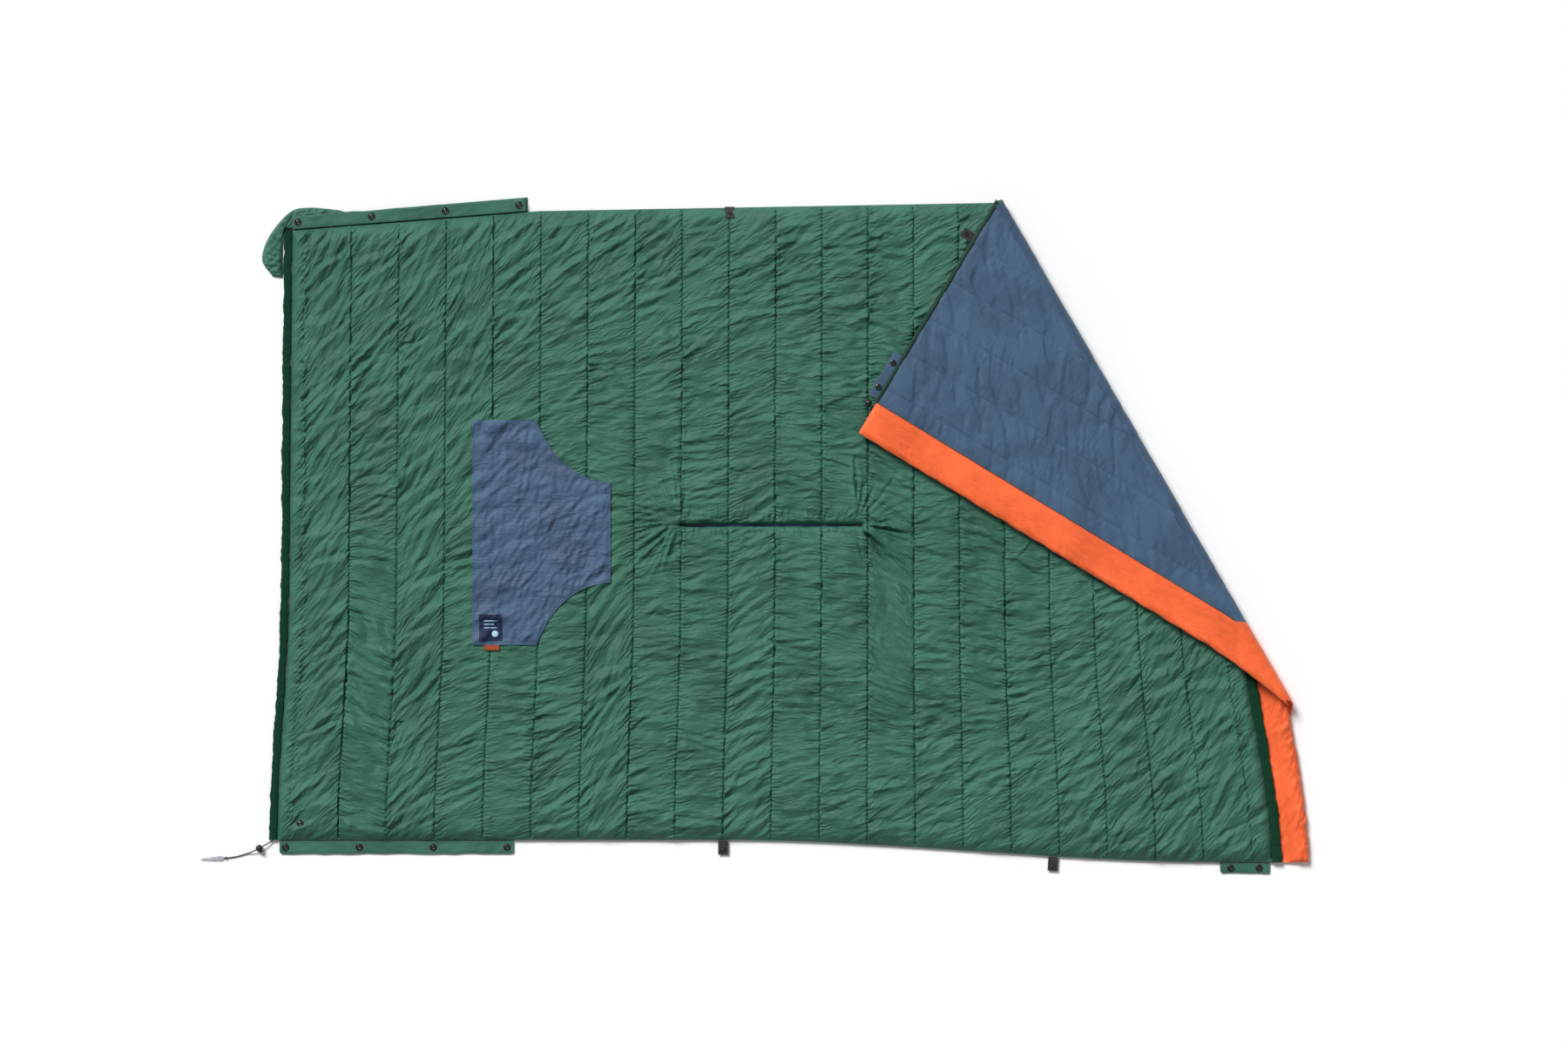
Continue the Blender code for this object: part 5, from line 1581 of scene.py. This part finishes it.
def draught_flap():
    """The padded flap: straight across between its sewn side and its free side, each a smooth curve. Its
    height is a power of a quarter sine in from its rim, with lumps and wrinkles."""
    inner_s = np.array([0.474, 0.24, 0.10, 0.02])
    ix, iy = plan(inner_s, np.ones(4))
    corner_x, corner_y = (float(v) for v in plan(0.0, 1.0))
    hem_side = corner_x - HEM_WIDTH - 0.0026
    bottom = corner_y - 0.095
    inner = [(a, b + 0.0004) for a, b in zip(ix, iy)] + [
        (hem_side + 0.002, corner_y + 0.0006), (hem_side, corner_y - 0.010), (hem_side, corner_y - 0.04),
        (hem_side, corner_y - 0.07), (hem_side, bottom)]
    outer_y = float(plan(0.10, 1.0)[1]) + 0.030
    tip = hem_side - 0.030
    outer = [(float(ix[0]), float(iy[0]) + 0.030), (0.24 - FOOT_BAND, float(iy[1]) + 0.029), (0.096, outer_y),
             (0.061, outer_y + 0.004), (tip + 0.082, bottom + 0.141), (tip + 0.044, bottom + 0.131),
             (tip + 0.004, bottom + 0.084), (tip - 0.011, bottom + 0.036), (hem_side - 0.020, bottom + 0.002)]
    steps = 34
    a, b = through(inner, steps), through(outer, steps)
    w = np.concatenate([[0, 0.03], np.linspace(0.08, 0.94, 20), [0.975, 1.0]])
    plane = a[:, None] * (1 - w[None, :, None]) + b[:, None] * w[None, :, None]
    reach = np.linalg.norm(b - a, axis=1)
    run = run_along((a + b) / 2)
    v = reach[:, None] * w[None]
    u = np.broadcast_to(run[:, None], v.shape)
    ends = np.clip(np.minimum(u, run[-1] - u) / 0.010, 0, 1)
    near = np.minimum(v, reach[:, None] - v)
    full = np.sin(np.pi / 2 * np.clip(near / 0.009, 0, 1)) ** 0.7 * np.sin(np.pi / 2 * ends) ** 0.6
    field = strip_wrinkles(float(run[-1]) + 0.01, 0.09, 47, 30, 70, 0.0026, 0.45)
    lump = 1 + 0.16 * noise(u / 0.03, v / 0.02, 48)
    top = 0.0018 + 0.0058 * full * lump + field.at(u, v) * full
    low = 0.0016 - 0.0014 * full
    z_top = np.concatenate([plane, np.maximum(top, low + 0.0003)[..., None]], -1)
    z_low = np.concatenate([plane, low[..., None]], -1)
    piece = slab("draught_flap", z_top, z_low, STRIP, np.stack([u, v], -1), 70)
    fitted(piece, "quilt", "draught_flap_shell", "draught_flap_fill", fill=0.4)


draught_flap()


# ---- pocket, label and tags ----

def rest_height(x, y):
    """The height a loose cloth takes over the shell: the highest nearby point, then smoothed."""
    reach = 0.012
    z = shell_at(x, y)
    cell = abs(float(x[1, 0] - x[0, 0]))
    n = max(1, int(reach / cell / 2))
    for _ in range(n):
        z = np.maximum.reduce([z, np.roll(z, 1, 0), np.roll(z, -1, 0), np.roll(z, 1, 1), np.roll(z, -1, 1)])
    for _ in range(n * 3):
        z = (z + np.roll(z, 1, 0) + np.roll(z, -1, 0) + np.roll(z, 1, 1) + np.roll(z, -1, 1)) / 5
    return z


POCKET_LEFT, POCKET_BASE, POCKET_SHIFT, POCKET_DEPTH = 0.338, 0.2265, -0.0095, 0.278


def pocket_half(x):
    """Half the pocket's width at x: constant at its base, then along the mouth's quadratic Bezier curve."""
    step = np.linspace(0, 1, 40)[:, None]
    first = np.array([POCKET_LEFT + 0.129, POCKET_BASE])
    knee = first + (0.045, -0.118)
    last = np.array([POCKET_LEFT + POCKET_DEPTH, 0.1005])
    mouth = (1 - step) ** 2 * first + 2 * step * (1 - step) * knee + step**2 * last
    outline = np.concatenate([[(POCKET_LEFT, POCKET_BASE)], mouth])
    return np.interp(x, outline[:, 0], outline[:, 1])


class PocketHeight:
    """The height of the pocket's cloth over any point: it rests on the shell, with its own wrinkles."""

    def __init__(self):
        self.x = np.linspace(POCKET_LEFT - 0.012, POCKET_LEFT + POCKET_DEPTH + 0.012, 130)
        self.y = np.linspace(-POCKET_BASE - 0.034, POCKET_BASE + 0.012, 210)
        grid_x, grid_y = np.meshgrid(self.x, self.y, indexing="ij")
        self.rest = rest_height(grid_x, grid_y)
        self.field = strip_wrinkles(0.32, 0.50, 103, 26, 66, 0.0034, 0.30)

    def at(self, x, y):
        """The rest height, with wrinkles that fade to the cloth's edges and a dent along its stitches."""
        row, column = np.interp(x, self.x, np.arange(130)), np.interp(y, self.y, np.arange(210))
        rest = between(self.rest, row, column)
        near = np.minimum.reduce([x - POCKET_LEFT, POCKET_LEFT + POCKET_DEPTH - x,
                                  pocket_half(x) - np.abs(y - POCKET_SHIFT)])
        inside = np.clip(near / 0.010, 0, 1)
        relief = self.field.at(x - POCKET_LEFT + 0.01, y + POCKET_BASE + 0.02)
        relief = np.maximum(relief + 0.0010 * noise(x / 0.06, y / 0.09, 102), -0.0009) * inside
        stitched = 0.0007 * np.exp(-((near - 0.0035) / 0.0009) ** 2)
        return rest + 0.0018 + relief - stitched


def pocket():
    """The hand pocket: its mouths curve in towards its top, and its cloth wrinkles softly."""
    height = PocketHeight()
    end = POCKET_LEFT + POCKET_DEPTH
    x = np.concatenate([
        [POCKET_LEFT, POCKET_LEFT + 0.0008], np.linspace(POCKET_LEFT + 0.002, end - 0.002, 110),
        [end - 0.0008, end],
    ])
    half = pocket_half(x)
    w = np.concatenate([[-1, -0.996], np.linspace(-0.988, 0.988, 170), [0.996, 1]])
    gx = np.broadcast_to(x[:, None], (len(x), len(w)))
    gy = half[:, None] * w[None] + POCKET_SHIFT
    top = np.stack([gx, gy, height.at(gx, gy)], -1)
    under = top - (0, 0, 0.0008)
    piece = slab("pocket_cloth", top, under, POCKET, np.stack([gx, gy], -1), 60)
    fitted(piece, "quilt", "pocket_panel")
    outline = np.concatenate([
        top[3:-3, 4], top[-4, 5:-5], top[3:-3, -5][::-1], top[3, 5:-5][::-1], top[3:5, 4],
    ])
    thread = stitches("pocket_stitches", *run_of_stitches(outline + (0, 0, 0.0003)), "quilt")
    label, motif = label_patch(POCKET_LEFT + 0.014, POCKET_SHIFT - POCKET_BASE + 0.0085, height)
    tag = tag_patch(POCKET_LEFT + 0.024, POCKET_SHIFT - POCKET_BASE - 0.0004, height)


def label_patch(x, y, height):
    """The sewn label: a hemmed patch with a plain disc and three bars on it, and no lettering."""
    deep, wide = 0.046, 0.053
    gx, gy = np.meshgrid(np.linspace(x, x + deep, 24), np.linspace(y, y + wide, 28), indexing="ij")
    near = np.minimum.reduce([gx - x, x + deep - gx, gy - y, y + wide - gy])
    under = height.at(gx, gy)
    top = under + 0.0013 - 0.0003 * np.exp(-((near - 0.002) / 0.001) ** 2)
    grid, low = np.stack([gx, gy, top], -1), np.stack([gx, gy, under + 0.0001], -1)
    piece = slab("label_patch", grid, low, LABEL, np.stack([gx, gy], -1), 60)
    fitted(piece, "quilt", "pocket_label")
    disc_at = np.array([x + 0.032, y + 0.014])
    disc_z = float(height.at(disc_at[:1], disc_at[1:])[0]) + 0.0012
    disc = [(0, 0), (0.0062, 0), (0.0064, 0.0003), (0.0058, 0.0006), (0, 0.0006)]
    motif = [turned("label_disc", disc, (*disc_at, disc_z), (0, 0, 1), MOTIF, 36)]
    for number, (long, place) in enumerate(((0.026, 0.026), (0.020, 0.033), (0.026, 0.040)), 1):
        bar_x = x + np.linspace(0.010, 0.010 + long, 16)
        bar_y = np.full(16, y + place)
        line = np.stack([bar_x, bar_y, height.at(bar_x, bar_y) + 0.0015], -1)
        motif.append(pipe(f"label_bar_{number}", along_path(line, oval(0.0016, 0.0006, 8)), MOTIF))
    for part in motif:
        fitted(part, "quilt")
    return piece, motif


def tag_patch(x, y, height):
    """The folded side tag, which droops from the pocket's edge."""
    gx, gy = np.meshgrid(np.linspace(x, x + 0.030, 16), np.linspace(y, y - 0.010, 10), indexing="ij")
    under = height.at(gx, gy)
    grid = np.stack([gx, gy, under + 0.0006 + 0.0003 * noise(gx / 0.012, gy / 0.01, 113)], -1)
    low = np.stack([gx, gy, under - 0.0006], -1)
    return fitted(slab("side_tag", grid, low, TAG, np.stack([gx, gy], -1), 60), "quilt", "pocket_tag")


pocket()


# ---- seams, zip and the rest ----

def seam_threads():
    """The quilting thread along every seam of the shell, outside the folded corner and the slit."""
    starts, ends = [], []
    for row in FOOT_CELLS + CELLS_PER_CHAMBER * np.arange(CHAMBERS + 1):
        line = TOP[row, 3:-3] + (0, 0, 0.0002)
        past = (line - FOLD_AT) @ ACROSS_FOLD
        a, b = run_of_stitches(line[(past < -0.002) & (slit_distance(line[:, 0], line[:, 1]) > 0.004)])
        keep = np.linalg.norm(a - b, axis=1) < 0.004
        starts.append(a[keep])
        ends.append(b[keep])
    stitches("shell_quilting", np.concatenate(starts), np.concatenate(ends), "quilt")


def neck_zip():
    """The closed zip down in the slit: two tapes and two rows of teeth; its slider and pull are solids."""
    low, high, middle = SLIT[0] + 0.0005, SLIT[1] - 0.0005, SLIT[2]
    x = np.linspace(low, high, 180)
    for name, side in (("upper_zip_tape", 1), ("lower_zip_tape", -1)):
        across = np.array([0.0016, 0.0022, 0.0036, 0.0050, 0.0057])
        gx, gy = np.meshgrid(x, across, indexing="ij")
        z = 0.0035 + 0.0002 * noise(gx / 0.02, gy / 0.004, 121)
        top = np.stack([gx, middle + side * gy, z], -1)
        bottom = np.stack([gx, middle + side * gy, z - 0.0007], -1)
        fitted(slab(name + "_cloth", top, bottom, BINDING, np.stack([gx, gy], -1)), "quilt", name)
    pitch = 0.0021
    count = int((high - low) / pitch)
    number = np.arange(count)
    centre = np.stack([low + (number + 0.5) * pitch, middle + np.where(number % 2, 0.0004, -0.0004),
                       np.full(count, 0.0032)], -1)
    half = np.array([0.00075, 0.00115, 0.0006])
    signs = np.array([(a, b, c) for a in (-1, 1) for b in (-1, 1) for c in (-1, 1)])
    points = centre[:, None] + signs * half * np.where(signs[:, 2:] > 0, (0.75, 0.85, 1), (1, 1, 1))
    cube = np.array([(0, 1, 3, 2), (4, 6, 7, 5), (0, 4, 5, 1), (2, 3, 7, 6), (0, 2, 6, 4), (1, 5, 7, 3)])
    faces = (cube[None] + 8 * number[:, None, None]).reshape(-1, 4)
    teeth = outward(make("zip_teeth", points, faces, SNAP_PLASTIC, smooth_shaded=False))
    fitted(teeth, "quilt", "zip_chain")


def corner_snap():
    """The snap through the quilt at the lower foot corner."""
    low, high = (np.array(c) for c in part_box("body_snap"))
    centre = (low + high) / 2
    top = float(shell_at(centre[:1], centre[1:2])[0]) + 0.0022
    cap = [(0.0022, 0.0040), (0.0072, 0.0040), (SNAP_RADIUS, 0.0034), (0.0073, 0.0018), (0.0064, 0.0010),
           (0.0050, 0.0012), (0.0036, 0.0006), (0.0030, 0), (0.0020, 0), (0.0014, 0.0007), (0, 0.0009)]
    profile = [(0, 0.0011), (0.0022, 0.0011)] + [(radius, top - down) for radius, down in cap]
    piece = turned("corner_snap", profile, (centre[0], centre[1], 0), (0, 0, 1), SNAP_PLASTIC, 40)
    fitted(piece, "quilt", "body_snap")


def carried_over():
    """The solids that are still shown keep their shape and take a finish."""
    finishes = {
        "shell_green": STRIP, "lining_blue": LINING, "collar_orange": COLLAR, "hem_green": PILE,
        "fill_white": FILLING, "black_webbing": WEBBING, "black_plastic": SNAP_PLASTIC,
        "cord_black": CORD, "clear_tag": FROSTED, "label_navy": LABEL, "tag_orange": TAG,
        "spring_steel": STEEL,
    }
    for part in frame["record"]["subparts"]:
        mesh = frame["nodes"][part["node"]].data
        mesh.materials.clear()
        mesh.materials.append(finishes[part["material_slot"]])


seam_threads()
neck_zip()
corner_snap()
cord_lock("head_lock", "corner_flap", "head_lock_button")
carried_over()
